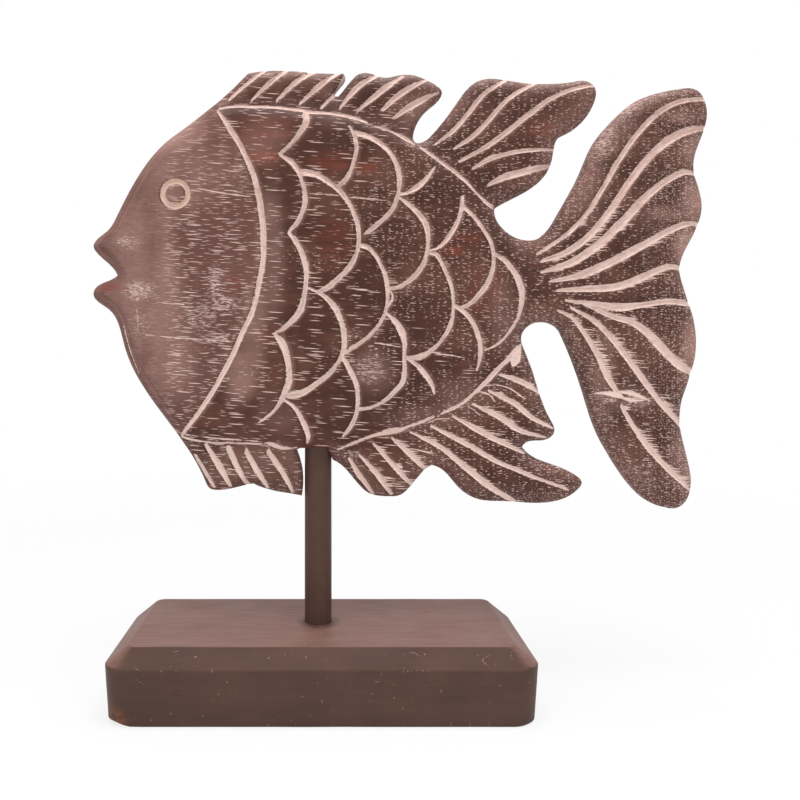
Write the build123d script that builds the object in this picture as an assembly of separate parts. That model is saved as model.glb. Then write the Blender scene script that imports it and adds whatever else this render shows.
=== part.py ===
"""A carved wooden fish on a stand: a fish cut from one plank, let down over the end of a round post,
and the post glued and screwed into a bevelled base block.

Millimetres. +Z is up, +X runs from the fish's mouth to its tail, and the carved side that is looked at
faces -Y. The origin is the centre of the base block's underside.
"""
from build123d import *
import os
from math import dist, sqrt

# Driving dimensions of the fish
FISH_LENGTH = 270.0          # lips to the end of the tail
FISH_HEIGHT = 192.0          # lowest tail lobe to the dorsal edge
BODY_THICKNESS = 22.0        # plank thickness, kept at the middle of the body
BODY_CROWN = 2.5             # how far each face of the body falls off from its middle to the belly
SHOULDER_RADIUS = 4.5        # rounding of the raised body along its border
FIN_THICKNESS = 12.0         # fins and tail, cut back on both faces
EYE_RING_DIAMETER = 13.6
EYE_RING_WIDTH = 2.5
EYE_RING_DEPTH = 0.9
GILL_WIDTH = 2.4
SCALE_CUT_WIDTH = 2.2
RAY_WIDTH = 2.2
GOUGE_DEPTH = 0.8            # how deep the gouge goes into the body and the fins

# Driving dimensions of the stand
POST_DIAMETER = 12.0
POST_REACH = 76.1            # bare post between the base block and the belly
POST_FISH_SOCKET = 24.0      # depth of the post's hole in the belly
POST_BASE_SOCKET = 16.0      # depth of the post's hole in the base block
POST_OFFSET = -1.7           # post axis, from the middle of the base block along its length
POST_CHAMFER = 0.8           # broken edge at both ends of the post
GLUE_GAP = 0.1               # radial room for glue round the post
BASE_LENGTH = 177.0
BASE_DEPTH = 75.0
BASE_HEIGHT = 30.8
BEVEL_RUN = 5.5              # how far the top bevel comes in along the two long sides
BEVEL_END_RUN = 9.5          # how far it comes in at the two ends
BEVEL_RISE = 7.6             # how far the top bevel goes down
BASE_DRAFT = 1.2             # how far the sides lean in towards the underside
CORNER_RADIUS = 10.0         # upright corners of the base block
TOP_CORNER_RADIUS = 4.0      # corners of its flat top, inside the bevel

# Driving dimensions of the screw under the base block
SCREW_DIAMETER = 4.0
SCREW_HEAD_DIAMETER = 8.0
SCREW_HEAD_HEIGHT = 2.6
SCREW_RECESS = 1.0           # how deep the head sits inside the underside
SCREW_GRIP = 20.0            # length of the screw inside the post, without its tip
SCREW_TIP = 3.0              # length of the pointed tip
SCREW_FIT = 0.05             # radial room round the screw in its own holes
CROSS_SPAN = 4.4             # cross recess in the head, arm to arm
CROSS_WIDTH = 1.0
CROSS_DEPTH = 1.6

# The carver's paper pattern. Each point is (towards the tail, up) in millimetres on paper, from the spot
# where the post's axis meets the belly. A stretch runs on from the last point of the stretch before it.
FOREHEAD_AND_UPPER_LIP = [
    (-31, 165.5), (-44, 153), (-57.5, 142), (-67.5, 134.5), (-77.5, 122.5), (-87.5, 104.5),
    (-92.5, 96.5), (-97.3, 92.7), (-99, 89.5), (-97, 86), (-92.5, 82), (-88, 76.5),
]
LOWER_LIP_AND_THROAT = [
    (-94.5, 73.5), (-98, 71.2), (-99, 68), (-97, 65), (-92, 61.5), (-87.5, 54.5), (-84.8, 44.5),
    (-78, 29.5), (-67.5, 14.5), (-57, -0.5), (-49.2, -15.5),
]
PELVIC_FIN_FRONT = [(-47.5, -17.4), (-44, -18), (-37, -17), (-28.5, -15.1)]
PELVIC_FIN_REAR = [(-22.5, -17.5), (-14, -19.2), (-7.2, -20.4)]
PELVIC_FIN_BACK_EDGE = [(-6.8, -10), (-9.5, 0)]
ANAL_FIN_ROOT = [(3.5, 0), (6.5, -4.6)]
ANAL_FIN_FRONT_LOBE = [
    (12.5, -9), (17.5, -15), (22.5, -19.4), (29.5, -20.7), (36, -20.2), (41, -16), (46, -10), (50, -6.9),
]
ANAL_FIN_LONG_LOBE = [
    (55.5, -9.5), (62, -16.8), (69.5, -21.6), (82.5, -22.9), (97.5, -23.6), (107.5, -21.9),
    (114, -18), (116.2, -14.3), (113, -11), (102.5, -6.5), (92, -1.2), (90, 1.2),
]
ANAL_FIN_REAR_LOBE = [
    (92, 3.2), (97.5, 3.8), (102.5, 5.3), (104.2, 8), (102, 14), (98, 23.5), (94.5, 34.5),
    (90.8, 44), (89.5, 49), (91.5, 53.3), (97, 56), (103, 55.3), (108, 50),
]
TAIL_LOWER_EDGE = [
    (112.5, 39.5), (117.5, 25), (122.5, 9.5), (130.5, -5.5), (137.5, -15.5), (146.5, -23.4), (153, -25.5),
]
TAIL_END = [
    (159, -25.2), (162.6, -21.5), (164.2, -14.5), (162.5, -4), (159.5, 11), (160, 21), (163.2, 30.5),
    (166.3, 44), (164.5, 60.5), (160.8, 71.5), (159.3, 80.5), (162, 88.5), (166.5, 97), (168.9, 106),
    (167.5, 115), (165.3, 125), (167, 133), (170.2, 141), (171.2, 149), (169.3, 155.7), (160.5, 159),
]
TAIL_UPPER_EDGE = [
    (148.5, 156.7), (138.5, 152.5), (130.5, 145.5), (121.5, 134.5), (115.5, 121), (106.5, 104.5),
    (100.5, 95.5), (96, 92.5), (90, 92.4), (82.5, 95.8), (78.3, 101), (77.8, 106.2),
]
REAR_DORSAL_FIN = [
    (87.5, 111.5), (96.5, 117), (101.8, 123.5), (103.8, 131), (105.6, 136.9), (110.5, 139.8),
    (117.5, 145.5), (121.8, 153), (122.2, 159), (119, 162), (111, 161.7), (102.5, 161), (87.5, 161.8),
    (75.5, 163.3), (69.5, 161.8), (63.5, 156), (57.5, 147.4), (51.5, 140), (46.5, 135.6), (43.5, 134.9),
    (41.8, 137.2),
]
FRONT_DORSAL_FIN = [
    (43.3, 143), (48, 149.7), (53.6, 154.7), (54.7, 157.2), (51.5, 160.7), (44.5, 164.1), (36.5, 165),
    (29, 163.8), (23.5, 165.5), (18, 165.3), (14.5, 162.5), (8.6, 155.5),
]
FRONT_DORSAL_SLIT = [(7.6, 155.9), (11, 161.5), (12, 164), (11, 165.7)]
CREST = [(-7.5, 166.3), (-25.5, 166.5), (-31, 165.5)]
OUTLINE = [
    FOREHEAD_AND_UPPER_LIP, LOWER_LIP_AND_THROAT, PELVIC_FIN_FRONT, PELVIC_FIN_REAR, PELVIC_FIN_BACK_EDGE,
    ANAL_FIN_ROOT, ANAL_FIN_FRONT_LOBE, ANAL_FIN_LONG_LOBE, ANAL_FIN_REAR_LOBE, TAIL_LOWER_EDGE, TAIL_END,
    TAIL_UPPER_EDGE, REAR_DORSAL_FIN, FRONT_DORSAL_FIN, FRONT_DORSAL_SLIT, CREST,
]
# The raised body's border against the fins, closed by a loop round the head that passes behind the lips.
BODY_TOP_BORDER = [
    (-50, 150), (-36, 151), (-18, 150.5), (2.5, 148.5), (14, 146.5), (28, 142), (42, 135), (56, 124.5),
    (68, 114.5), (80, 103), (92, 88),
]
BODY_LOW_BORDER = [
    (94, 62), (84, 42), (72, 29.5), (61, 20), (50, 13.5), (34, 8.5), (20, 4.5), (4, -0.5), (-12, 0),
    (-30, 2), (-60, 4),
]
HEAD_LOOP = [
    (-69, 14.5), (-79.3, 29.5), (-86, 44.5), (-89.5, 58), (-91.5, 70), (-92.5, 82), (-92.8, 94.5),
    (-88.6, 104.8), (-78.5, 123), (-68.3, 135.2), (-58, 142.8), (-50, 150),
]
BODY_CENTRE = (-6.0, 76.0)
EYE_CENTRE = (-61.6, 111.3)

# The gouge cuts, each from where the gouge goes in to where it comes out.
GILL_CUT = [
    (-43.7, 148.1), (-32.6, 130.4), (-24.7, 105.3), (-23.5, 82.5), (-32.1, 52), (-47, 23.5), (-59.4, 6.7),
]
SCALE_CUTS = [
    [(-5.3, 146), (-8.3, 137), (-16.5, 128.5)],
    [(-16.9, 128.3), (-7.3, 118), (-5.5, 108), (-12.5, 94.7)],
    [(-12.5, 94.5), (-6.4, 84.5), (-5.1, 75.5), (-7.5, 61), (-19.5, 50.7)],
    [(-18.5, 50.3), (-13.5, 41.5), (-12.5, 30.5), (-16.8, 20.5), (-25.8, 12.3)],
    [(-14.8, 22.5), (-7.3, 14.3), (-4.7, 3.3)],
    [(13.5, 140.8), (16.6, 131.3), (14.3, 121.7), (9.1, 114.7)],
    [(-7.5, 120.2), (2.5, 117.5), (11.5, 109.7), (17.6, 91.5), (13.5, 79.5), (0, 69)],
    [(-4.7, 70.4), (7, 62.5), (11.3, 50), (9.1, 39), (-1.5, 28.7), (-15, 24.1)],
    [(11.5, 39.5), (16.8, 28), (16.4, 15.5), (10.5, 6)],
    [(16, 137.5), (26.5, 133.5), (34.5, 122), (34.5, 111), (30, 102), (20.8, 94.1)],
    [(17.5, 89.1), (24.5, 84.8), (29.5, 73.5), (29.7, 62.5), (24.5, 52.5), (11.5, 42.5)],
    [(29.3, 59.7), (35.8, 52.5), (37.3, 41.5), (36.3, 29.5), (28, 21.5), (18.5, 18.3)],
    [(34.3, 110.9), (42.5, 114), (50.1, 122.4)],
    [(35, 109.5), (43.5, 102.5), (47.5, 92.5), (46.1, 82.5), (37.7, 72.5), (30, 70.3)],
    [(47.1, 85.7), (53.7, 81), (58.2, 66.5), (55.9, 51.8), (48.5, 43.4), (38.5, 40.3)],
    [(38.5, 40), (46.8, 32.8), (50.3, 24.8)],
    [(47.5, 86.7), (55.5, 91.3), (61.5, 102.5), (62.5, 110.7)],
    [(63, 105.8), (71.5, 96.3), (76.1, 84.5), (73.5, 72.9), (61, 61.9)],
    [(58.7, 63.1), (66.1, 57), (70.4, 44.5), (68.7, 34.5)],
    [(76.3, 85.3), (83.5, 79.8), (88.7, 68), (86.5, 57), (78.5, 46.8), (72.5, 43.8)],
]
DORSAL_RAYS = [
    [(-39, 153), (-31.5, 159.7), (-24, 165.2)],
    [(-28.8, 153), (-21.5, 160), (-14, 165.2)],
    [(-18, 152.5), (-10.5, 160), (-2, 165.2)],
    [(-7.5, 151.7), (0.5, 159), (8, 164.4)],
    [(10, 150), (16.5, 157.8), (25.5, 163.3)],
    [(17.5, 148.5), (26.5, 156), (36, 162.7)],
    [(28, 148.5), (35.5, 155.2), (46.5, 161.7)],
    [(33, 145), (41, 150.5), (52, 156.3)],
    [(51, 133.5), (65.5, 147), (72.5, 155.5), (81, 161.6)],
    [(59, 131.5), (74.5, 144), (82.5, 153), (95, 160.6)],
    [(61.5, 126), (82.5, 139), (102.5, 154), (119.5, 159)],
    [(67.5, 123), (82.5, 129.5), (103, 131.3)],
    [(74, 115.5), (87.5, 121), (101.5, 124.2)],
]
TAIL_RAYS = [
    [(95.5, 85.7), (117.5, 103.5), (132.5, 128.5), (149.5, 148), (168, 153.4)],
    [(97.5, 82.5), (119.5, 95), (137.5, 119.5), (157.5, 138), (168.5, 141)],
    [(97.5, 77.8), (122.5, 90), (142.5, 110), (164, 120.6)],
    [(101.5, 73.8), (127.5, 82), (154.5, 96.5), (166, 98.2)],
    [(104.5, 69.8), (130.5, 71.5), (158, 79.4)],
    [(108, 65.5), (132.5, 62.5), (161, 64)],
    [(115.5, 64), (138.5, 55), (152.5, 42), (162, 34.2)],
    [(110.5, 62), (128.5, 48.5), (143.5, 28.5), (158, 11)],
    [(104.5, 61), (116.5, 50.5), (130.5, 25.5)],
    [(132.5, 19), (146.5, -1.5), (161, -16.2)],
]
ANAL_RAYS = [
    [(13.5, -3.5), (18.5, -11.5), (23.5, -18.2)],
    [(18, -2), (24.5, -9), (31.5, -18.4)],
    [(24.5, 2.5), (31.5, -5), (39.5, -14)],
    [(32.5, 5), (40.5, -2), (46.5, -8)],
    [(40.5, 7.8), (64.5, -7.5), (85, -22)],
    [(49.5, 10.5), (77.5, -4.5), (108, -16.8)],
    [(59.5, 14.5), (80.5, 3.3), (90, -1)],
    [(68, 20), (87.5, 9), (98.5, 5.6)],
    [(74.5, 26), (92.5, 15), (101.5, 9.8)],
    [(79.5, 33), (88.5, 30), (96.5, 25.3)],
]
PELVIC_RAYS = [
    [(-54, -2), (-50, -8.5), (-45.8, -15.8)],
    [(-49, 2.5), (-43.5, -6), (-38.8, -15)],
    [(-39, 1), (-35.5, -7), (-31.3, -14.5)],
    [(-31, -1), (-26.5, -9), (-22.3, -16)],
    [(-21.5, -1), (-15.5, -9.5), (-11.3, -18)],
]

os.makedirs("parts", exist_ok=True)

# Pattern size to real size
pattern_x = [x for stretch in OUTLINE for x, _ in stretch]
pattern_z = [z for stretch in OUTLINE for _, z in stretch]
length_scale = FISH_LENGTH / (max(pattern_x) - min(pattern_x))
height_scale = FISH_HEIGHT / (max(pattern_z) - min(pattern_z))
belly_height = BASE_HEIGHT + POST_REACH
fin_tip_height = belly_height + min(pattern_z) * height_scale
post_top = belly_height + POST_FISH_SOCKET
post_foot = BASE_HEIGHT - POST_BASE_SOCKET
socket_radius = POST_DIAMETER / 2 + GLUE_GAP


def from_pattern(point):
    """A pattern point at its real place, on the fish's middle plane."""
    x, z = point
    return Vector(POST_OFFSET + x * length_scale, 0, belly_height + z * height_scale)


def stretch_edge(points):
    """One stretch of the outline: a straight cut between two points, a smooth curve through more."""
    places = [from_pattern(point) for point in points]
    return Edge.make_line(*places) if len(places) == 2 else Edge.make_spline(places)


def closed_face(stretches):
    """The face inside stretches that run on from each other and close."""
    edges = []
    start = stretches[-1][-1]
    for stretch in stretches:
        points = stretch if stretch[0] == start else [start, *stretch]
        edges.append(stretch_edge(points))
        start = stretch[-1]
    return Face(Wire(edges))


def gouge_cut(points, width):
    """A leaf-shaped face along a cut: pointed where the gouge goes in and comes out, this wide between."""
    places = [from_pattern(point) for point in points]
    left, right = [], []
    for before, here, after in zip(places, places[1:], places[2:]):
        along = (after - before).normalized()
        across = Vector(-along.Z, 0, along.X) * (width / 2)
        left.append(here + across)
        right.append(here - across)
    one_side = Edge.make_spline([places[0], *left, places[-1]])
    other_side = Edge.make_spline([places[-1], *reversed(right), places[0]])
    return Face(Wire([one_side, other_side]))


def body_marks(cuts, width):
    """What the gouge takes out of both faces of the crowned body."""
    core = make_crown(GOUGE_DEPTH)
    marks = [slab(gouge_cut(points, width), BODY_THICKNESS) - core for points in cuts]
    return [solid for mark in marks for solid in mark.solids()]


def fin_marks(cuts, width):
    """What the gouge takes out of both flat faces of the fins."""
    floor = FIN_THICKNESS / 2 - GOUGE_DEPTH
    marks = []
    for face in [gouge_cut(points, width) for points in cuts]:
        for side in (-1, 1):
            bottom = face.moved(Pos(0, side * floor, 0))
            marks.append(Solid.extrude(bottom, Vector(0, side * 2 * GOUGE_DEPTH, 0)))
    return marks


def slab(face, thickness):
    """A face drawn on the middle plane, thickened by half on either side."""
    half = thickness / 2
    return Solid.extrude(face.moved(Pos(0, -half, 0)), Vector(0, thickness, 0))


def upright(radius, low, high):
    """A cylinder on the post's axis, from one height to another."""
    return Pos(POST_OFFSET, 0, low) * Solid.make_cylinder(radius, high - low)


# The crown of the body: each face is part of a large ball, full thickness at the body's middle.
crown_centre = from_pattern(BODY_CENTRE)
crown_to_belly = crown_centre.Z - belly_height
crown_radius = (crown_to_belly**2 + BODY_CROWN**2) / (2 * BODY_CROWN)
crown_offset = crown_radius - BODY_THICKNESS / 2


def half_thickness(place):
    """How far a face of the body stands from the middle plane at a place on that plane."""
    return sqrt(crown_radius**2 - dist(place, crown_centre) ** 2) - crown_offset


def make_crown(inset):
    """The space between the two balls, each moved in by so much."""
    ball = Solid.make_sphere(crown_radius)
    front = Pos(crown_centre.X, crown_offset + inset, crown_centre.Z) * ball
    back = Pos(crown_centre.X, -crown_offset - inset, crown_centre.Z) * ball
    return front & back


def make_eye_rings():
    """The ring cut round each eye, down to its depth and out past the face of the body."""
    eye = from_pattern(EYE_CENTRE)
    outer = EYE_RING_DIAMETER / 2
    floor = half_thickness(eye) - EYE_RING_DEPTH
    whole = Rot(90, 0, 0) * Cylinder(outer, BODY_THICKNESS)
    pupil = Rot(90, 0, 0) * Cylinder(outer - EYE_RING_WIDTH, BODY_THICKNESS)
    core = Box(EYE_RING_DIAMETER, 2 * floor, EYE_RING_DIAMETER)
    return Pos(eye.X, 0, eye.Z) * (whole - pupil - core)


def make_fish():
    """Fins and tail as a thin plank, the crowned body on both sides of it, and all that is cut into them."""
    outline = closed_face(OUTLINE)
    body_region = closed_face([BODY_TOP_BORDER, BODY_LOW_BORDER, HEAD_LOOP])
    rays = DORSAL_RAYS + TAIL_RAYS + ANAL_RAYS + PELVIC_RAYS
    fins = slab(outline, FIN_THICKNESS) - fin_marks(rays, RAY_WIDTH)
    body = slab(body_region, BODY_THICKNESS) & make_crown(0)
    rim = body.edges().filter_by(lambda edge: abs(edge.center().Y) > FIN_THICKNESS / 2)
    body = fillet(rim, SHOULDER_RADIUS) & slab(outline, BODY_THICKNESS)
    body = body - (body_marks([GILL_CUT], GILL_WIDTH) + body_marks(SCALE_CUTS, SCALE_CUT_WIDTH))
    post_hole = upright(socket_radius, fin_tip_height, post_top)
    return fins + body - make_eye_rings() - post_hole


def make_post():
    """A dowel that reaches to the end of both of its holes, drilled up its foot for the screw."""
    dowel = upright(POST_DIAMETER / 2, post_foot, post_top)
    dowel = chamfer(dowel.edges().filter_by(GeomType.CIRCLE), POST_CHAMFER)
    pilot = upright(SCREW_DIAMETER / 2 + SCREW_FIT, post_foot, post_foot + SCREW_GRIP + SCREW_TIP)
    return dowel - pilot


def base_section(height, end_inset, side_inset, corner_radius):
    """A level cut through the base block, so far in from its widest line at the ends and the sides."""
    length = BASE_LENGTH - 2 * end_inset
    depth = BASE_DEPTH - 2 * side_inset
    return Pos(0, 0, height) * RectangleRounded(length, depth, corner_radius)


def make_base():
    """A block that widens a little up to its bevel, with the post's hole above and the screw's below."""
    underside = base_section(0, BASE_DRAFT, BASE_DRAFT, CORNER_RADIUS)
    widest = base_section(BASE_HEIGHT - BEVEL_RISE, 0, 0, CORNER_RADIUS)
    flat_top = base_section(BASE_HEIGHT, BEVEL_END_RUN, BEVEL_RUN, TOP_CORNER_RADIUS)
    sides = loft([underside, widest], ruled=True)
    bevel = loft([widest, flat_top], ruled=True)
    post_hole = upright(socket_radius, post_foot, BASE_HEIGHT)
    return sides + bevel - post_hole - screw_shape(SCREW_FIT) - head_recess()


def head_recess():
    """The short hole that lets the screw's head in past the underside."""
    return upright(SCREW_HEAD_DIAMETER / 2 + SCREW_FIT, 0, SCREW_RECESS)


def screw_shape(room):
    """The screw's countersunk head and its shank up to the tip, grown by some room all round."""
    neck = SCREW_RECESS + SCREW_HEAD_HEIGHT
    shank_radius = SCREW_DIAMETER / 2 + room
    head = Solid.make_cone(SCREW_HEAD_DIAMETER / 2 + room, shank_radius, SCREW_HEAD_HEIGHT)
    shank = upright(shank_radius, neck, post_foot + SCREW_GRIP)
    return Pos(POST_OFFSET, 0, SCREW_RECESS) * head + shank


def make_base_screw():
    """A wood screw with a countersunk head, a cross recess and a pointed tip."""
    tip = Solid.make_cone(SCREW_DIAMETER / 2, 0, SCREW_TIP)
    tip = Pos(POST_OFFSET, 0, post_foot + SCREW_GRIP) * tip
    cross = Box(CROSS_SPAN, CROSS_WIDTH, CROSS_DEPTH) + Box(CROSS_WIDTH, CROSS_SPAN, CROSS_DEPTH)
    cross = Pos(POST_OFFSET, 0, SCREW_RECESS + CROSS_DEPTH / 2) * cross
    return screw_shape(0) + tip - cross


NODES = {
    "fish": make_fish,
    "post": make_post,
    "base": make_base,
    "base_screw": make_base_screw,
}
for name, make in NODES.items():
    piece = make()
    export_step(piece, f"parts/{name}.step")
    print(name, "volume", round(piece.volume, 1), "mm3, solids", len(piece.solids()))
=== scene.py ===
# %% [markdown]
# # A carved fish on a stand
# The real thing is a plank of wood sawn to the outline of a fish, carved on both faces with a gouge,
# stained dark, and rubbed with limewash that stays in the cuts and in the open pores. It stands on a dowel
# in a bevelled block. This lesson dresses the CAD solids: the fish, the post and the block get new meshes
# that lie where the solids are, and the screw under the block keeps its solid.

# %% The solids to dress
from math import cos, pi, radians, sin, tau

import bmesh
import bpy
import numpy as np
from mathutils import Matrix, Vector, noise
from mathutils.bvhtree import BVHTree
from mathutils.geometry import delaunay_2d_cdt
from mathutils.kdtree import KDTree


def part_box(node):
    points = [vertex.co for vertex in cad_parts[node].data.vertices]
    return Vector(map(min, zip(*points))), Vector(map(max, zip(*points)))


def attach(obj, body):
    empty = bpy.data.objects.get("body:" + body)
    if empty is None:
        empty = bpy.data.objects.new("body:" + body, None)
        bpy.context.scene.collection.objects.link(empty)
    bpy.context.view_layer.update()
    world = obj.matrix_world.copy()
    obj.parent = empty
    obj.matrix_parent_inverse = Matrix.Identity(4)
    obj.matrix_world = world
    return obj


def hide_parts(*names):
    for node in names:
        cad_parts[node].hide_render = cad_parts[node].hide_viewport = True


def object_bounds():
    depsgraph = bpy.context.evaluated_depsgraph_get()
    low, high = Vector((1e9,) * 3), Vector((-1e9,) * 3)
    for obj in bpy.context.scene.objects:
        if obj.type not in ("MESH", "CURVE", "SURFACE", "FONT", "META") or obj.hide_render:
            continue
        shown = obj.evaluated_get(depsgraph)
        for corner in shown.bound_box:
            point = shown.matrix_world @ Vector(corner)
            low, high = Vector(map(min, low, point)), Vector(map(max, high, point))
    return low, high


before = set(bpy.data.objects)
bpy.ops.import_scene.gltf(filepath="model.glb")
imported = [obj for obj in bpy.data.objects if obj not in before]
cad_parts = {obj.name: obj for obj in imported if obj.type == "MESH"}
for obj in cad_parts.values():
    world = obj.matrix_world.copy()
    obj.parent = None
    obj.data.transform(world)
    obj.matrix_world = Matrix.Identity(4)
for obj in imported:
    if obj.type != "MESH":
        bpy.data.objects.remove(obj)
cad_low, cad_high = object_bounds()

MM = 0.001
print("solids:", sorted(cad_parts), "box in mm:", [round(v / MM, 1) for v in (*cad_low, *cad_high)])

# %% [markdown]
# ## The camera
# A small ornament is usually photographed from close by, at its own height, which makes the top of the
# block look wide. A level camera with a little shift gives that view: tilting it instead would make the
# upright post lean.

# %% A level camera, close by
CAMERA_PLACE = (0.0023, -0.370, 0.153)
SENSOR_WIDTH = 36.0
LENS = 37.6
SHIFT_ACROSS, SHIFT_UP = 0.091, -0.069      # shares of the picture's width
NEAREST_SEEN = 0.01
camera_data = bpy.data.cameras.new("camera")
camera_data.sensor_width = SENSOR_WIDTH
camera_data.lens = LENS
camera_data.shift_x = SHIFT_ACROSS
camera_data.shift_y = SHIFT_UP
camera_data.clip_start = NEAREST_SEEN
camera = bpy.data.objects.new("camera", camera_data)
camera.location = CAMERA_PLACE
camera.rotation_euler = (radians(90), 0, 0)
bpy.context.scene.collection.objects.link(camera)
bpy.context.scene.camera = camera
bpy.context.scene.view_settings.view_transform = "Standard"
print("camera", round(-CAMERA_PLACE[1], 3), "m in front of the fish")

# %% [markdown]
# ## A kit for materials
# Every finish below is a small web of shader nodes. Clicking them together by hand is fine for one
# material; for several, a few helpers that each add one knot keep the recipe readable.


# %% Helpers for values and colours
def new_material(name):
    """An empty material: its node tree and its Principled shader."""
    material = bpy.data.materials.new(name)
    material.use_nodes = True
    tree = material.node_tree
    return material, tree, tree.nodes["Principled BSDF"]


def feed(tree, socket, value):
    """A link where value is another node's output, and otherwise a number or colour on the socket."""
    if isinstance(value, bpy.types.NodeSocket):
        tree.links.new(value, socket)
    else:
        socket.default_value = value


def calc(tree, operation, *values):
    node = tree.nodes.new("ShaderNodeMath")
    node.operation = operation
    for socket, value in zip(node.inputs, values):
        feed(tree, socket, value)
    return node.outputs[0]


def ramp(tree, value, low, high, out_low=0.0, out_high=1.0):
    """A soft step from out_low to out_high as value goes from low to high."""
    node = tree.nodes.new("ShaderNodeMapRange")
    node.interpolation_type = "SMOOTHSTEP"
    for name, number in zip(("Value", "From Min", "From Max", "To Min", "To Max"),
                            (value, low, high, out_low, out_high)):
        feed(tree, node.inputs[name], number)
    return node.outputs["Result"]


def blend_colour(tree, factor, under, over):
    node = tree.nodes.new("ShaderNodeMix")
    node.data_type = "RGBA"
    for index, value in ((0, factor), (6, under), (7, over)):
        feed(tree, node.inputs[index], value)
    return node.outputs[2]


def from_hex(code):
    """A colour as painters write it, turned into the linear light that shaders add up."""
    parts = [int(code[i:i + 2], 16) / 255 for i in (1, 3, 5)]
    linear = [p / 12.92 if p <= 0.04045 else ((p + 0.055) / 1.055) ** 2.4 for p in parts]
    return (*linear, 1.0)


print("helpers for values and colours ready")

# %% [markdown]
# A pattern needs a place to be drawn at. A mesh can be unwrapped and painted flat, but wood has its grain
# all through, so the patterns here are worked out in space, at the point itself, measured in millimetres.
# Each pattern is given the size of its blobs or grains along x, y and z.


# %% Helpers for places and patterns
def attribute(tree, name):
    node = tree.nodes.new("ShaderNodeAttribute")
    node.attribute_name = name
    return node.outputs["Fac"]


def millimetres(tree):
    """The point on the object being shaded, in millimetres."""
    place = tree.nodes.new("ShaderNodeTexCoord")
    scale = tree.nodes.new("ShaderNodeVectorMath")
    scale.operation = "SCALE"
    scale.inputs["Scale"].default_value = 1 / MM
    tree.links.new(place.outputs["Object"], scale.inputs[0])
    return scale.outputs[0]


def split(tree, vector):
    node = tree.nodes.new("ShaderNodeSeparateXYZ")
    tree.links.new(vector, node.inputs[0])
    return node.outputs[0], node.outputs[1], node.outputs[2]


def joined(tree, across, up):
    """A flat place made of two values."""
    node = tree.nodes.new("ShaderNodeCombineXYZ")
    feed(tree, node.inputs[0], across)
    feed(tree, node.inputs[1], up)
    return node.outputs[0]


def stretched(tree, place, size):
    """The same point measured in cells of this size, so that a pattern is as long as its cell."""
    node = tree.nodes.new("ShaderNodeVectorMath")
    node.operation = "DIVIDE"
    tree.links.new(place, node.inputs[0])
    node.inputs[1].default_value = size
    return node.outputs[0]


def cloud(tree, place, size, detail=2.0, roughness=0.5):
    """Smooth noise with blobs of about this size, from 0 to 1."""
    node = tree.nodes.new("ShaderNodeTexNoise")
    feed(tree, node.inputs["Vector"], stretched(tree, place, size))
    node.inputs["Scale"].default_value = 1.0
    node.inputs["Detail"].default_value = detail
    node.inputs["Roughness"].default_value = roughness
    return node.outputs["Fac"]


def grains(tree, place, size, flat=False):
    """Scattered grains of this size: the distance to the nearest one and two random numbers of its own."""
    node = tree.nodes.new("ShaderNodeTexVoronoi")
    node.voronoi_dimensions = "2D" if flat else "3D"
    feed(tree, node.inputs["Vector"], stretched(tree, place, size))
    node.inputs["Scale"].default_value = 1.0
    luck = tree.nodes.new("ShaderNodeSeparateColor")
    tree.links.new(node.outputs["Color"], luck.inputs[0])
    return node.outputs["Distance"], luck.outputs[0], luck.outputs[1]


def bump(tree, height, strength, distance_mm):
    node = tree.nodes.new("ShaderNodeBump")
    node.inputs["Strength"].default_value = strength
    node.inputs["Distance"].default_value = distance_mm * MM
    tree.links.new(height, node.inputs["Height"])
    return node.outputs["Normal"]


print("helpers for places and patterns ready")

# %% [markdown]
# ## The floor
# The ornament stands on white. A white sheet alone would look grey where little light reaches it, so the
# floor also glows, for the camera alone: it stays white, and near the block it still takes light and shadow
# like painted board.

# %% A white floor
FLOOR_HALF = 4           # metres
FLOOR_PAINT = (0.8, 0.8, 0.8, 1)
FLOOR_ROUGHNESS = 0.9
FLOOR_GLOW = 0.80        # how much of the floor's white is its own near the block
FLOOR_FADE = (150, 700)  # where that share starts to rise, and where it is all of it
floor_corners = [(FLOOR_HALF * a, FLOOR_HALF * b, 0) for a, b in ((-1, -1), (1, -1), (1, 1), (-1, 1))]
floor_mesh = bpy.data.meshes.new("floor")
floor_mesh.from_pydata(floor_corners, [], [(0, 1, 2, 3)])
floor = bpy.data.objects.new("floor", floor_mesh)
bpy.context.scene.collection.objects.link(floor)
floor_white, tree, shader = new_material("floor_white")
shader.inputs["Base Color"].default_value = FLOOR_PAINT
shader.inputs["Roughness"].default_value = FLOOR_ROUGHNESS
glow = tree.nodes.new("ShaderNodeEmission")
path = tree.nodes.new("ShaderNodeLightPath")
mix = tree.nodes.new("ShaderNodeMixShader")
away = tree.nodes.new("ShaderNodeVectorMath")
away.operation = "LENGTH"
tree.links.new(millimetres(tree), away.inputs[0])
share = ramp(tree, away.outputs["Value"], *FLOOR_FADE, FLOOR_GLOW, 1.0)
tree.links.new(calc(tree, "MULTIPLY", path.outputs["Is Camera Ray"], share), mix.inputs[0])
tree.links.new(shader.outputs[0], mix.inputs[1])
tree.links.new(glow.outputs[0], mix.inputs[2])
tree.links.new(mix.outputs[0], tree.nodes["Material Output"].inputs["Surface"])
floor_mesh.materials.append(floor_white)
print("floor", 2 * FLOOR_HALF, "m wide")

# %% [markdown]
# ## The world
# In a white room light comes from all sides, and the world gives that light. The camera and reflections
# meet it at full white, while dull wood is lit by about a third of it, so that the lamps can still model
# the carving.

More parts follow.
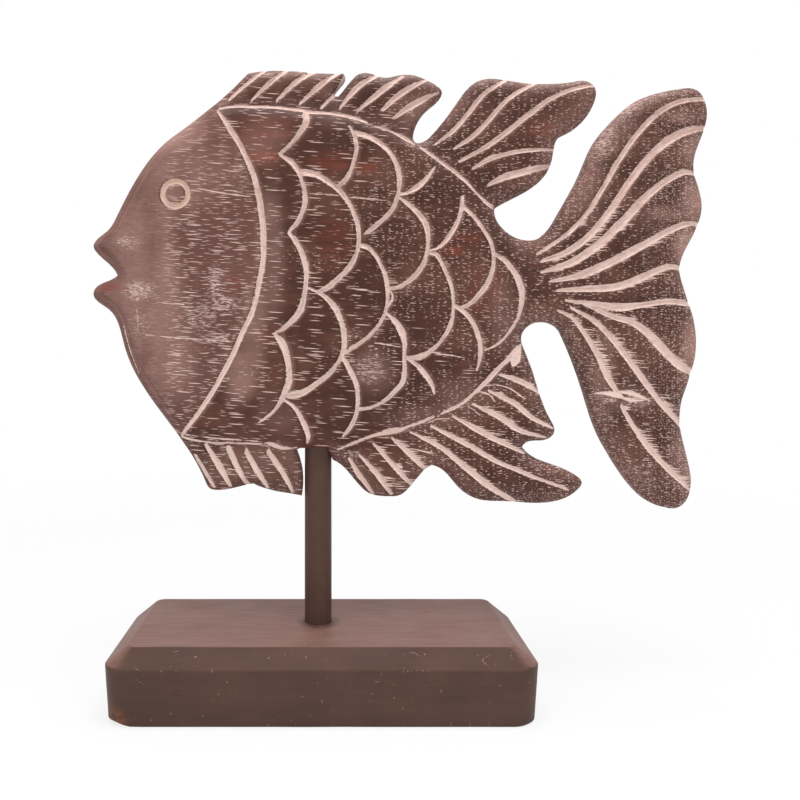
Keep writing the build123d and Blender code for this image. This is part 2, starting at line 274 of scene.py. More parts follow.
# %% A white room
WORLD_LIGHT = 0.36
world = bpy.data.worlds.new("white_room")
bpy.context.scene.world = world
world.use_nodes = True
tree = world.node_tree
path = tree.nodes.new("ShaderNodeLightPath")
seen = calc(tree, "MAXIMUM", path.outputs["Is Camera Ray"], path.outputs["Is Glossy Ray"])
seen = calc(tree, "MAXIMUM", seen, path.outputs["Is Transmission Ray"])
background = tree.nodes["Background"]
background.inputs["Color"].default_value = (1, 1, 1, 1)
tree.links.new(ramp(tree, seen, 0.0, 1.0, WORLD_LIGHT, 1.0), background.inputs["Strength"])
print("world lights the wood at", WORLD_LIGHT)

# %% [markdown]
# ## The lamps
# One big soft lamp hangs overhead, and two weaker ones stand to the left and the right: the top of the
# block is then lighter than its front. A sun or a spot would draw hard shadows, so these are area lamps,
# wide discs whose shadows have soft edges.

# %% Three soft lamps
# each lamp: its place and its width in metres, and its power in watts
LAMPS = {
    "overhead": ((0.05, -0.15, 1.1), 0.8, 12.5),
    "from_the_left": ((-0.85, -0.75, 0.45), 0.5, 2.0),
    "from_the_right": ((0.85, -0.75, 0.45), 0.5, 2.0),
}
middle = (cad_low + cad_high) / 2


def soft_lamp(name, place, width, power):
    """A disc of light that faces the middle of the ornament."""
    data = bpy.data.lights.new(name, "AREA")
    data.shape = "DISK"
    data.size = width
    data.energy = power
    lamp = bpy.data.objects.new(name, data)
    lamp.location = place
    lamp.rotation_euler = (middle - Vector(place)).to_track_quat("-Z", "Y").to_euler()
    bpy.context.scene.collection.objects.link(lamp)


for name, settings in LAMPS.items():
    soft_lamp(name, *settings)
print(len(LAMPS), "soft lamps")

# %% [markdown]
# ## The plank's outline
# The carver saws the outline first, so the mesh starts there too. Cutting the CAD fish along its middle
# plane gives that line, and nothing has to be drawn twice.

# %% Cutting the solid in half
fish_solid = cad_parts["fish"]
fish_low, fish_high = (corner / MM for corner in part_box("fish"))
SAME_SPOT = 1e-6


def middle_cut(solid):
    """The closed line round a solid on its middle plane, as (x, z) in millimetres."""
    bm = bmesh.new()
    bm.from_mesh(solid.data)
    bmesh.ops.remove_doubles(bm, verts=bm.verts, dist=SAME_SPOT)
    everything = [*bm.verts, *bm.edges, *bm.faces]
    cut = bmesh.ops.bisect_plane(bm, geom=everything, plane_co=(0, 0, 0), plane_no=(0, 1, 0))["geom_cut"]
    edges = [e for e in cut if isinstance(e, bmesh.types.BMEdge)]
    beside = {}
    for edge in edges:
        a, b = edge.verts
        beside.setdefault(a, []).append(b)
        beside.setdefault(b, []).append(a)
    here = edges[0].verts[0]
    walked = [here]
    seen = {here}
    while True:
        ahead = [v for v in beside[here] if v not in seen]
        if not ahead:
            break
        here = ahead[0]
        seen.add(here)
        walked.append(here)
    line = np.array([(v.co.x / MM, v.co.z / MM) for v in walked])
    bm.free()
    return line


whole_cut = middle_cut(fish_solid)
print("cut along a line of", len(whole_cut), "points")

# %% [markdown]
# The hole for the post shows in that line as a slot up the belly. It is closed here and drilled later, as
# a carver would do it. Then the line is divided into short pieces, because long ones would make long and
# thin triangles that don't take the relief well.

# %% Closing the post's slot
post_low, post_high = (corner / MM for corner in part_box("post"))
POST_X = (post_low.x + post_high.x) / 2
POST_RADIUS = (post_high.x - post_low.x) / 2
FIN_ROOT = 3.5           # where the anal fin meets the belly, tail-side of the post's axis
SLOT_ROOM = 0.4
OUTLINE_STEP = 0.9       # the longest piece of the divided outline
SHORTEST_PIECE = 0.01


def close_slot(line):
    """The outline with the post's slot closed along the belly."""
    over_post = np.abs(line[:, 0] - POST_X) < POST_RADIUS + SLOT_ROOM
    foot = POST_X - POST_RADIUS - SLOT_ROOM
    beside_post = (line[:, 0] < foot) & (line[:, 0] > foot - POST_RADIUS)
    belly = line[beside_post & (line[:, 1] < post_high.z), 1].max()
    in_slot = over_post & (line[:, 1] > belly + SLOT_ROOM) & (line[:, 1] < post_high.z + SLOT_ROOM)
    first = int(np.flatnonzero(in_slot)[0])
    turned = np.roll(line, -first, axis=0)
    kept = turned[~np.roll(in_slot, -first)]
    return np.vstack([kept, [(POST_X + FIN_ROOT, belly)]])


def divided(line, step):
    """A closed line with no piece longer than step, with its own corners kept."""
    points = []
    for a, b in zip(line, np.roll(line, -1, axis=0)):
        count = max(1, int(np.ceil(np.hypot(*(b - a)) / step)))
        points.extend(a + (b - a) * i / count for i in range(count))
    return np.array(points)


raw_outline = close_slot(whole_cut)
raw_outline = raw_outline[np.hypot(*(np.roll(raw_outline, -1, axis=0) - raw_outline).T) > SHORTEST_PIECE]
twice_area = np.sum(raw_outline[:, 0] * np.roll(raw_outline[:, 1], -1)
                    - raw_outline[:, 1] * np.roll(raw_outline[:, 0], -1))
if twice_area < 0:
    raw_outline = raw_outline[::-1]
outline = divided(raw_outline, OUTLINE_STEP)
print("outline of", len(outline), "points, area", round(abs(twice_area) / 200), "cm2")

# %% [markdown]
# ## The drawing of the cuts
# A carver pencils every cut on the plank before picking up the gouge. Here the drawing is lists of points,
# each with its width: how far along from the middle of the block, how high above the table, and how wide
# the gouge went there. A round gouge makes cuts that start thin, swell and run out again, which is why
# every point has a width of its own.

# %% The drawing: gill, borders and scales
DRAWN_POST_X = -2.5      # the post's axis and the highest edge on the drawing
DRAWN_TOP = 272.3

GILL = [[
    (-46.2, 253.6, 0.7), (-41.8, 246.9, 2.2), (-35.1, 235.9, 2.0), (-30.3, 224.6, 2.3), (-27.2, 210.8, 2.6),
    (-25.9, 198, 2.5), (-26, 188, 2.4), (-27.8, 178, 2.3), (-30.8, 165.5, 2.2), (-34.6, 157.5, 2.2),
    (-41.6, 142.5, 2.0), (-49.5, 129, 2.1), (-55, 121, 1.9), (-61.9, 112.2, 1.4),
]]
BORDERS = [
    [(-45.3, 254.3, 0.8), (-40, 255.3, 1.3), (-30, 255.1, 1.4), (-20, 254.8, 1.3), (-12, 253.6, 1.5),
     (-5, 252.7, 1.6), (2, 252.2, 1.4), (10, 251, 1.5), (15, 249.6, 1.3), (19, 248, 0.8)],
    [(22, 246.6, 0.5), (26, 245.4, 1.1), (29, 244.4, 0.5)],
    [(30, 244, 0.8), (34, 242, 1.6), (38, 239.8, 1.2), (39.5, 238.8, 0.5)],
    [(42, 237.5, 0.7), (46, 234.8, 1.5), (50, 231.8, 1.6), (57, 226.8, 1.6), (62, 222.5, 1.2), (66, 218, 0.9),
     (70, 214.3, 1.4), (73.5, 211.6, 1.8)],
    [(-62, 111.5, 0.6), (-57, 110.2, 0.9), (-50, 109.2, 0.6), (-40, 108.8, 0.6), (-32, 108.6, 0.7),
     (-27, 108.4, 0.5)],
    [(-60, 112.5, 0.4), (-50, 111.1, 0.6), (-38, 110.3, 0.5), (-28, 109.7, 0.4)],
    [(-24.5, 108.8, 0.9), (-22, 108.2, 2.2), (-19.5, 107.1, 1.6), (-15, 106.4, 1.0), (-12, 106.6, 0.7)],
    [(6, 105.9, 0.6), (10, 107.6, 0.9), (15, 109.6, 1.1), (20, 111.6, 1.3), (25, 113, 1.8), (30, 114.2, 2.6),
     (33, 114.6, 2.2), (37, 116, 1.2), (43, 118.1, 1.2), (48, 120.3, 0.9)],
    [(51, 121.6, 0.7), (54, 122.8, 1.3), (60, 126, 1.2), (65, 130, 1.4), (70, 134.7, 2.0), (75, 140, 2.2),
     (79.5, 144.5, 1.8), (82, 146.8, 2.6), (84.5, 149.5, 2.8), (86.3, 151.6, 1.0)],
    [(82.5, 142.6, 1.2), (83.5, 145.2, 4.0), (84.4, 148.2, 3.4), (85.6, 150.8, 1.4)],
]
SCALES = [
    [(-7.8, 251.5, 2.8), (-7.6, 248.5, 2.8), (-10.8, 242.5, 2.0), (-14.2, 238.3, 1.6), (-19, 234, 1.2)],
    [(-19.4, 233.8, 0.8), (-13.4, 229.8, 2.6), (-9.8, 223.5, 1.6), (-8.3, 217.5, 1.9), (-8, 213.5, 2.1),
     (-9.6, 208, 1.8), (-11.6, 204, 1.8), (-15, 200.2, 1.0)],
    [(-15, 200, 1.4), (-12, 196, 2.0), (-8.9, 190, 2.3), (-7.6, 184, 2.3), (-7.7, 178, 1.8), (-8.4, 172, 2.0),
     (-10, 166.5, 2.8), (-13.5, 162, 2.4), (-17.5, 158.5, 1.8), (-22, 156.2, 0.8)],
    [(-21, 155.8, 1.0), (-18.3, 152.8, 3.2), (-16, 147, 2.6), (-14.9, 141, 2.4), (-15, 136, 2.8),
     (-17, 130.5, 2.2), (-19.3, 126, 1.6), (-22.8, 121.8, 1.2), (-28.3, 117.8, 0.6)],
    [(-17.3, 128, 0.8), (-13, 124.8, 1.4), (-9.8, 119.8, 1.8), (-7.6, 115, 2.2), (-6.7, 111.5, 1.8),
     (-7.2, 108.8, 0.7)],
    [(11, 246.3, 0.7), (13.1, 242.5, 1.5), (14.1, 236.8, 1.6), (13.3, 231.8, 1.6), (11.8, 227.2, 1.8),
     (9.5, 223, 1.9), (6.6, 220.2, 1.6)],
    [(-10, 225.7, 3.0), (-5, 225.3, 2.8), (0, 223, 2.4), (5, 219.6, 2.4), (9, 215.2, 2.2), (12.6, 209, 1.8),
     (14.7, 203, 1.8), (15.1, 197, 1.6), (13.9, 190.5, 1.7), (11, 185, 2.2), (6, 180, 2.2), (1.5, 176, 2.4),
     (-2.5, 174.5, 1.0)],
    [(-7.2, 175.9, 0.8), (-4.2, 174.9, 0.8), (0, 172.5, 1.8), (4.5, 168, 2.6), (7.3, 162, 2.2),
     (8.8, 155.5, 2.4), (8.7, 150, 2.2), (6.6, 144.5, 1.6), (2.2, 139, 2.0), (-4, 134.2, 2.2),
     (-10, 130.6, 2.9), (-14, 129.7, 2.8), (-17.5, 129.6, 1.2)],
    [(9, 145, 2.2), (11.8, 139.8, 2.2), (14.3, 133.5, 2.0), (14.7, 127, 1.6), (13.9, 121, 1.8),
     (11.5, 116, 1.9), (8, 111.5, 0.8)],
    [(13.5, 243, 2.6), (18, 242, 2.2), (24, 239, 2.2), (28.8, 234.3, 2.0), (32, 227.5, 2.4),
     (32.7, 222.5, 2.2), (32, 216.5, 1.4), (30.6, 212, 1.8), (27.5, 207.5, 2.0), (23, 203.5, 1.8),
     (18.3, 199.6, 1.6)],
    [(15, 194.6, 1.6), (18.6, 193.6, 2.0), (22, 190.3, 1.8), (25, 185, 1.6), (27, 179, 1.8), (27.5, 174, 1.6),
     (27.2, 168, 1.4), (25.6, 163.3, 1.3), (22, 158, 1.5), (17, 153.3, 1.5), (12, 150, 1.7), (9, 148, 1.2)],
    [(28.7, 175, 0.6), (29.7, 172, 1.0), (28.5, 168.8, 0.8)],
    [(26.8, 165.2, 0.8), (30.3, 162, 2.2), (33.3, 158, 3.0), (34.8, 152, 2.0), (34.7, 146, 1.5),
     (34.9, 140.5, 2.0), (33.8, 135, 2.4), (30.5, 131.3, 2.2), (25.5, 127, 1.5), (20, 124.4, 1.3),
     (16, 123.8, 1.6)],
    [(31.8, 216.4, 1.0), (35.5, 217, 1.5), (40, 219.5, 2.2), (44, 223, 2.0), (47.6, 227.9, 0.6)],
    [(32.5, 215, 1.2), (36.5, 212.3, 1.9), (41, 208, 2.2), (44.2, 203.5, 2.6), (45, 198, 1.9),
     (44.5, 192, 1.5), (43.6, 188, 1.8), (40, 182.3, 2.0), (35.2, 178, 1.9), (31, 175.9, 1.6),
     (27.5, 175.8, 1.2)],
    [(44.6, 191.2, 1.2), (48.4, 190.5, 1.8), (51.2, 186.5, 1.7), (53.7, 181, 1.8), (55.5, 175, 1.5),
     (55.9, 168, 1.4), (55.4, 162.5, 1.6), (53.4, 157.3, 1.8), (50, 152.5, 1.5), (46, 148.9, 1.9),
     (42, 146.6, 2.6), (36, 145.8, 1.4)],
    [(36, 145.5, 0.9), (40.2, 142.8, 1.9), (44.3, 138.3, 2.4), (47, 133.5, 1.8), (47.8, 130.3, 0.7)],
    [(45, 192.2, 0.5), (49, 193.2, 1.1), (53, 196.8, 1.8), (56.5, 202, 1.9), (59, 208, 1.7), (59.8, 213, 1.6),
     (60, 216.2, 1.4)],
    [(60.5, 211.3, 2.0), (64.5, 207.5, 1.7), (69, 201.8, 1.6), (72.6, 195.3, 1.8), (73.6, 190, 1.8),
     (73.2, 184, 1.8), (71, 178.4, 2.2), (67, 173, 2.0), (63, 169.2, 1.6), (58.5, 167.4, 1.3)],
    [(56.2, 168.6, 1.2), (60, 166.2, 1.8), (63.6, 162.5, 1.9), (66.6, 156.5, 2.2), (67.9, 150, 2.0),
     (67.6, 145, 1.6), (66.2, 140, 0.7)],
    [(73.8, 190.8, 1.4), (77.2, 189.2, 2.0), (81, 185.3, 2.4), (84.8, 179, 3.0), (86.2, 173.5, 2.6),
     (85.6, 167.5, 1.8), (84, 162.5, 1.5), (80.6, 157, 1.3), (76, 152.3, 1.0), (70, 149.3, 0.5)],
]
print(len(GILL + BORDERS + SCALES), "cuts drawn on the body")

# %% [markdown]
# The fins and the tail are scored with rays. They fan out from the body, and most of them run out just
# before the edge or cross it. A loop could turn one ray round a point, but a fan made like that is too
# even for hand work, so each ray is drawn. The last list holds single scratches and the knot in the tail.

# %% The drawing: rays of the fins and the tail
FRONT_DORSAL_RAYS = [
    [(-41.5, 258.5, 0.8), (-34, 265.2, 1.7), (-26, 271.5, 1.2)],
    [(-31.3, 258.5, 0.9), (-24, 265.5, 1.8), (-16.5, 271.5, 1.5)],
    [(-20.5, 258, 0.9), (-13, 265.5, 2.0), (-4, 271.5, 1.5)],
    [(-10, 257.2, 0.9), (-2, 264.5, 2.2), (6.8, 271, 1.3)],
    [(-1, 255, 1.2), (5.5, 262.5, 1.4), (9.5, 270, 0.6)],
    [(7.5, 255.5, 1.0), (14, 263.3, 2.4), (24, 270, 1.2)],
    [(15, 254, 0.9), (24, 261.5, 2.4), (34.5, 269, 1.2)],
    [(25.5, 254, 1.1), (33, 260.7, 2.3), (45, 267.7, 1.0)],
    [(30.5, 250.5, 1.2), (38.5, 256, 2.6), (50, 262, 0.8)],
]
REAR_DORSAL_RAYS = [
    [(48.5, 239, 0.7), (57, 245.5, 1.8), (63, 252.5, 2.0), (70, 261, 1.8), (79.5, 267.5, 1.2)],
    [(56.5, 237, 0.8), (65, 242.5, 1.8), (72, 249.5, 1.9), (80, 258.5, 1.8), (94, 267, 1.0)],
    [(59, 231.5, 0.8), (70, 237.5, 1.8), (80, 244.5, 2.0), (90, 252.5, 2.0), (100, 259.5, 1.7),
     (110, 263.5, 1.4), (118, 265, 0.9)],
    [(65, 228.5, 1.0), (72, 232.5, 2.0), (80, 235, 1.8), (90, 236.5, 1.3), (101, 236.8, 0.7)],
    [(71.5, 221, 0.8), (77, 224, 2.4), (85, 226.5, 2.8), (93, 228.5, 2.4), (100, 230, 1.0)],
]
TAIL_RAYS = [
    [(93, 191.2, 0.8), (105, 199, 1.3), (115, 209, 1.6), (122, 220, 1.7), (130, 234, 1.8), (138, 245, 1.8),
     (147, 253.5, 1.8), (155, 257.5, 1.6), (166.5, 259, 1.3)],
    [(95, 188, 1.0), (107, 192.5, 2.2), (117, 200.5, 2.3), (126, 211.5, 2.3), (135, 225, 2.4),
     (145, 236.5, 2.6), (155, 243.5, 2.8), (167.5, 246.7, 1.5)],
    [(95, 183.3, 0.9), (108, 187.5, 2.6), (120, 195.5, 2.8), (130, 205, 2.8), (140, 215.5, 2.6),
     (150, 223.5, 2.2), (158, 227, 1.8), (163, 226.3, 1.2)],
    [(99, 179.3, 0.9), (112, 182, 2.4), (125, 187.5, 2.8), (140, 195.5, 2.4), (152, 202, 2.0),
     (160, 204.5, 1.8), (165, 203.8, 1.2)],
    [(102, 175.3, 0.8), (115, 176, 2.2), (128, 177, 2.6), (140, 181.5, 2.4), (150, 185.5, 2.0),
     (156.5, 185, 1.6)],
    [(105.5, 171, 0.8), (115, 169.8, 1.6), (130, 168, 2.6), (142, 169.5, 1.8), (150, 170.5, 2.0),
     (160, 169.5, 1.6)],
    [(113, 169.5, 0.7), (125, 164.5, 1.8), (136, 160.5, 2.2), (143, 155, 2.8), (150, 147.5, 3.0),
     (157, 141.5, 2.8), (161.5, 139, 2.0)],
    [(108, 167.5, 0.7), (118, 162, 1.7), (126, 154, 2.0), (133, 145, 2.1), (141, 134, 2.1), (148, 125, 1.9),
     (157, 115.5, 1.4)],
    [(102, 166.5, 0.7), (108, 163.5, 1.2), (114, 156, 1.7), (120, 146, 2.0), (124, 137, 2.0),
     (128, 131, 1.6)],
    [(130, 124.5, 1.0), (136, 114.5, 1.8), (144, 104, 1.9), (152, 95.5, 1.8), (160, 88, 1.0)],
]
ANAL_RAYS = [
    [(11, 102, 1.0), (16, 94, 2.2), (21.5, 86.5, 1.2)],
    [(15.5, 103.5, 0.8), (22, 96.5, 1.9), (29.5, 86.3, 1.3)],
    [(22, 108, 0.8), (29, 100.5, 2.0), (38, 90.5, 1.2)],
    [(30, 110.5, 0.9), (38, 103.5, 2.2), (44.5, 97, 1.6)],
    [(38, 113.3, 0.7), (50, 107.5, 1.9), (62, 98, 2.3), (72, 90, 2.4), (83.5, 83, 1.8)],
    [(47, 116, 0.9), (60, 109.5, 2.0), (75, 101, 1.7), (90, 94.5, 1.4), (107, 88.3, 0.8)],
    [(57, 120, 0.8), (68, 114, 2.3), (78, 108.8, 1.8), (88, 104, 0.8)],
    [(65.5, 125.5, 0.8), (76, 120.5, 2.2), (85, 114.5, 2.1), (97, 111, 0.9)],
    [(72, 131.5, 0.9), (83, 126, 2.0), (90, 120.5, 2.0), (100, 115, 0.9)],
    [(77, 138.5, 0.9), (86, 135.5, 2.2), (94.5, 130.5, 1.2)],
]
PELVIC_RAYS = [
    [(-56.5, 103.5, 0.8), (-52.5, 97, 1.4), (-48, 89.5, 0.9)],
    [(-51.5, 108, 1.0), (-46, 99.5, 2.2), (-41, 90, 1.2)],
    [(-41.5, 106.5, 1.8), (-38, 98.5, 2.0), (-33.5, 90.5, 1.4)],
    [(-33.5, 104.5, 1.6), (-29, 96.5, 1.9), (-24.5, 89, 1.1)],
    [(-24, 104.5, 1.8), (-18, 96, 1.8), (-13.5, 87, 0.9)],
]
SCRATCHES = [
    [(-6, 216.7, 0.4), (0, 216.3, 0.7), (6.5, 215.8, 0.4)],
    [(12.5, 215.2, 0.4), (20, 214.4, 0.7), (27, 213.7, 0.4)],
    [(22, 152.5, 0.4), (27, 151.7, 0.8), (33, 150.7, 0.4)],
    [(47, 148.2, 0.5), (53, 147.3, 0.8), (60, 146.2, 0.3)],
    [(10, 176, 0.3), (17, 175.2, 0.5), (24, 174, 0.3)],
    [(68.5, 133.5, 0.3), (76, 134, 0.5), (82, 132, 0.5), (86, 129, 0.6), (87.5, 128, 0.4),
     (86.5, 126.8, 0.3)],
    [(66, 131.5, 0.3), (72, 130, 0.6), (75, 126.5, 0.4)],
    [(63, 125, 0.3), (68, 120.8, 0.5)],
    [(45, 117.5, 0.3), (49, 119, 0.6), (55, 119.3, 0.4)],
    [(38, 106.3, 0.4), (45, 104.8, 0.7), (49, 104, 0.3)],
    [(118, 130.4, 0.6), (123, 130.5, 1.7), (128.5, 129.6, 2.4), (130.5, 128.4, 1.2)],
    [(128.5, 131.2, 0.9), (132.5, 130.8, 1.9), (137, 129.4, 2.0), (141.5, 127.4, 0.7)],
    [(130, 128.4, 1.0), (134.5, 127.5, 1.8), (139, 127.3, 0.8)],
    [(-54.5, 219, 0.3), (-47, 217.6, 0.7), (-40, 216.4, 0.7), (-32, 215.5, 0.3)],
    [(-77, 155.8, 0.2), (-65, 154.8, 0.4), (-50, 153.6, 0.5), (-41, 153.2, 0.3)],
    [(-72, 170, 0.3), (-66, 169.4, 0.5), (-60, 169, 0.3)],
    [(-87, 160, 0.3), (-84.5, 150, 0.5), (-80.5, 139, 0.3)],
    [(-81, 167, 0.2), (-80.4, 162, 0.35), (-80.6, 158, 0.2)],
]
DORSAL_RAYS = FRONT_DORSAL_RAYS + REAR_DORSAL_RAYS
print(len(DORSAL_RAYS + TAIL_RAYS + ANAL_RAYS + PELVIC_RAYS), "rays and", len(SCRATCHES), "scratches")

# %% [markdown]
# ## From drawing to relief
# A mesh could be sculpted by hand with a brush, but some ninety clean cuts are easier to work out. For any
# spot on the face, four things set how far it stands out from the plank's middle: the CAD body under it,
# the rounding of the sawn edge, the gouge cuts beside it, and the unevenness of hand work. The cuts come
# first: a smooth curve through each row of drawn points.

# %% Smooth cuts from the drawn points
EYE = (-64.1, 216.8)
EYE_RING_RADIUS = 5.5
EYE_RING_WIDTH = 2.3
EYE_RING_POINTS = 25
CUT_STEP = 0.3
THINNEST_HALF = 0.1


def on_plank(point):
    """A drawn point moved to where the CAD post and the CAD fish are."""
    return point[0] + POST_X - DRAWN_POST_X, point[1] + fish_high.z - DRAWN_TOP


def smooth_cut(points, widen=1.0):
    """The drawn points joined by a smooth curve: rows of x, z and half width."""
    drawn = np.array([(*on_plank(p), p[2] / 2 * widen) for p in points])
    along = np.concatenate([[0], np.cumsum(np.hypot(*np.diff(drawn[:, :2], axis=0).T))])
    wanted = np.linspace(0, along[-1], max(2, int(along[-1] / CUT_STEP) + 1))
    slope = np.gradient(drawn, along, axis=0)
    k = np.clip(np.searchsorted(along, wanted, "right") - 1, 0, len(along) - 2)
    span = (along[k + 1] - along[k])[:, None]
    t = (wanted - along[k])[:, None] / span
    curve = drawn[k] * (1 + 2 * t) * (1 - t) ** 2 + drawn[k + 1] * t * t * (3 - 2 * t)
    curve += slope[k] * span * t * (1 - t) ** 2 + slope[k + 1] * span * t * t * (t - 1)
    curve[:, 2] = np.maximum(curve[:, 2], THINNEST_HALF)
    return curve


ring = [(EYE[0] + EYE_RING_RADIUS * cos(a), EYE[1] + EYE_RING_RADIUS * sin(a), EYE_RING_WIDTH)
        for a in np.linspace(0, tau, EYE_RING_POINTS)]
# each group: what its cuts are, their drawing, and how much wider than drawn they came out
DRAWN = (
    ("scale", SCALES, 1.0),
    ("line", GILL + BORDERS + [ring], 1.0),
    ("ray", TAIL_RAYS, 1.25),
    ("ray", DORSAL_RAYS + ANAL_RAYS, 1.1),
    ("ray", PELVIC_RAYS, 1.3),
    ("scratch", SCRATCHES, 1.0),
)
cuts = [(kind, smooth_cut(points, widen)) for kind, group, widen in DRAWN for points in group]
print(len(cuts), "cuts,", round(sum(len(c) for _, c in cuts) * CUT_STEP / 1000, 2), "m of gouging")

# %% [markdown]
# The CAD solid knows how thick the plank is everywhere. Shooting a ray at it from the front on a grid of
# one millimetre gives a map of that thickness. The solid's own narrow grooves are filled in the map, since
# the cuts come from the drawing, and a blur leaves the soft shoulder of hand work beside the fins.

# %% A map of the solid's front
MAP_MARGIN = 8
SHOULDER = 1             # how far the body's soft edge is pulled in
FILL_GROOVES = 3         # grooves of the solid up to twice this wide are filled
BLUR_ROUNDS, BLUR_REACH = 2, 2
FIN_SHARE = 25           # at least so many parts in a hundred of the map are fin
RAY_START = -100         # well in front of the fish
map_x = np.arange(fish_low.x - MAP_MARGIN, fish_high.x + MAP_MARGIN)
map_z = np.arange(fish_low.z - MAP_MARGIN, fish_high.z + MAP_MARGIN)


def front_map(solid):
    tree = BVHTree.FromObject(solid, bpy.context.evaluated_depsgraph_get())
    heights = np.full((len(map_x), len(map_z)), np.nan)
    for i, x in enumerate(map_x):
        for j, z in enumerate(map_z):
            hit = tree.ray_cast(Vector((x, RAY_START, z)) * MM, Vector((0, 1, 0)))[0]
            if hit:
                heights[i, j] = -hit.y / MM
    return heights


def spread(heights, reach, pick):
    """The map with each cell set to the lowest, highest or mean height of the cells around it."""
    for axis in (0, 1):
        moved = [np.roll(heights, step, axis) for step in range(-reach, reach + 1)]
        heights = pick(moved, axis=0)
    return heights


def grown(heights, rounds):
    """The map with the empty cells beside it filled from their neighbours, one ring a round."""
    for _ in range(rounds):
        near = np.stack([np.roll(heights, step, axis) for axis in (0, 1) for step in (-1, 1)])
        known = ~np.isnan(near)
        mean = np.where(known, near, 0).sum(0) / np.maximum(known.sum(0), 1)
        heights = np.where(np.isnan(heights) & known.any(0), mean, heights)
    return heights


plain = front_map(fish_solid)
FIN_HALF = float(np.nanpercentile(plain, FIN_SHARE))
plain = np.maximum(np.nan_to_num(grown(plain, MAP_MARGIN), nan=FIN_HALF), FIN_HALF)
soft = spread(spread(plain, FILL_GROOVES, np.max), FILL_GROOVES + SHOULDER, np.min)
for _ in range(BLUR_ROUNDS):
    soft = spread(soft, BLUR_REACH, np.mean)


def map_height(points):
    """The soft map read between its cells."""
    u = np.clip(points[:, 0] - map_x[0], 0, len(map_x) - 1.001)
    v = np.clip(points[:, 1] - map_z[0], 0, len(map_z) - 1.001)
    i, j = u.astype(int), v.astype(int)
    u, v = u - i, v - j
    low = soft[i, j] * (1 - v) + soft[i, j + 1] * v
    high = soft[i + 1, j] * (1 - v) + soft[i + 1, j + 1] * v
    return low * (1 - u) + high * u


print("fins", round(2 * FIN_HALF, 1), "mm thick, body up to", round(2 * soft.max(), 1))

# %% [markdown]
# Now the relief itself, in two parts. First comes the sawn edge, which is rounded with sandpaper, most
# widely at the head. A bevel modifier would round it alike all along, so the rounding is worked out from
# how near a spot is to the outline. A tree of the outline's points finds the nearest one quickly.

# %% The rounded edge
FIN_EDGE_WIDTH, FIN_EDGE_DROP = 5.5, 4.4
HEAD_EDGE_WIDTH, HEAD_EDGE_DROP = 7.0, 4.2
GILL_BLEND = 0.8         # half the width of the change from head to body
fine_outline = divided(outline, OUTLINE_STEP / 3)
outline_tree = KDTree(len(fine_outline))
for number, spot in enumerate(fine_outline):
    outline_tree.insert((*spot, 0), number)
outline_tree.balance()


def edge_distance(points):
    return np.array([outline_tree.find((x, z, 0))[2] for x, z in points])


def smoothstep(value, low, high):
    t = np.clip((value - low) / (high - low), 0, 1)
    return t * t * (3 - 2 * t)


def ahead_of_gill(points):
    """1 on the head, in front of the gill cut, and 0 behind it."""
    gill = smooth_cut(GILL[0])[::-1]
    ahead = np.interp(points[:, 1], gill[:, 1], gill[:, 0]) - points[:, 0]
    return smoothstep(ahead, -GILL_BLEND, GILL_BLEND)


def rounded_edge(points):
    """How far the sandpaper took the face down beside the outline."""
    head = ahead_of_gill(points)
    width = FIN_EDGE_WIDTH + (HEAD_EDGE_WIDTH - FIN_EDGE_WIDTH) * head
    drop = FIN_EDGE_DROP + (HEAD_EDGE_DROP - FIN_EDGE_DROP) * head
    inward = np.clip(1 - edge_distance(points) / width, 0, 1)
    return drop * (1 - np.sqrt(1 - inward ** 2))


print("edge rounded over", FIN_EDGE_WIDTH, "mm on the fins and", HEAD_EDGE_WIDTH, "mm on the head")

# %% [markdown]
# Then come the cuts. Each one is a U: deepest along its line and level again at its half width. Beside the
# rays the gouge has hollowed the fin a little, and inside each scale the wood is left a little higher than
# outside it, so that the scales seem to overlap. No face made by hand is quite flat, so slow and quick
# waves of noise go over it all.

# %% The cuts and the unevenness
CUT_DEPTH = {"scale": 0.5, "line": 0.6, "ray": 0.6, "scratch": 0.12}
DEEP_HALF = 1.2          # a cut with a greater half width than this gets no deeper
CUT_REACH = 8.0          # how far beside a cut the wood is still looked at
FAR_OUTSIDE = -6.0
SHALLOW = 0.08           # limewash fills this much less of a scratch's width
HOLLOW_WIDTH, HOLLOW_DEPTH = 3.6, 0.55
SCALE_LIFT, SCALE_REACH = 0.35, 4.5
LIFT_FADE = (0.3, 0.8)   # half widths at which a scale's cut starts to lift it, and lifts it fully
UNEVEN = ((28.0, 0.22), (6.0, 0.07))        # size and height of the hand-made unevenness
CUT_SPREAD = 37.0        # keeps the limewash of one cut unlike that of the next


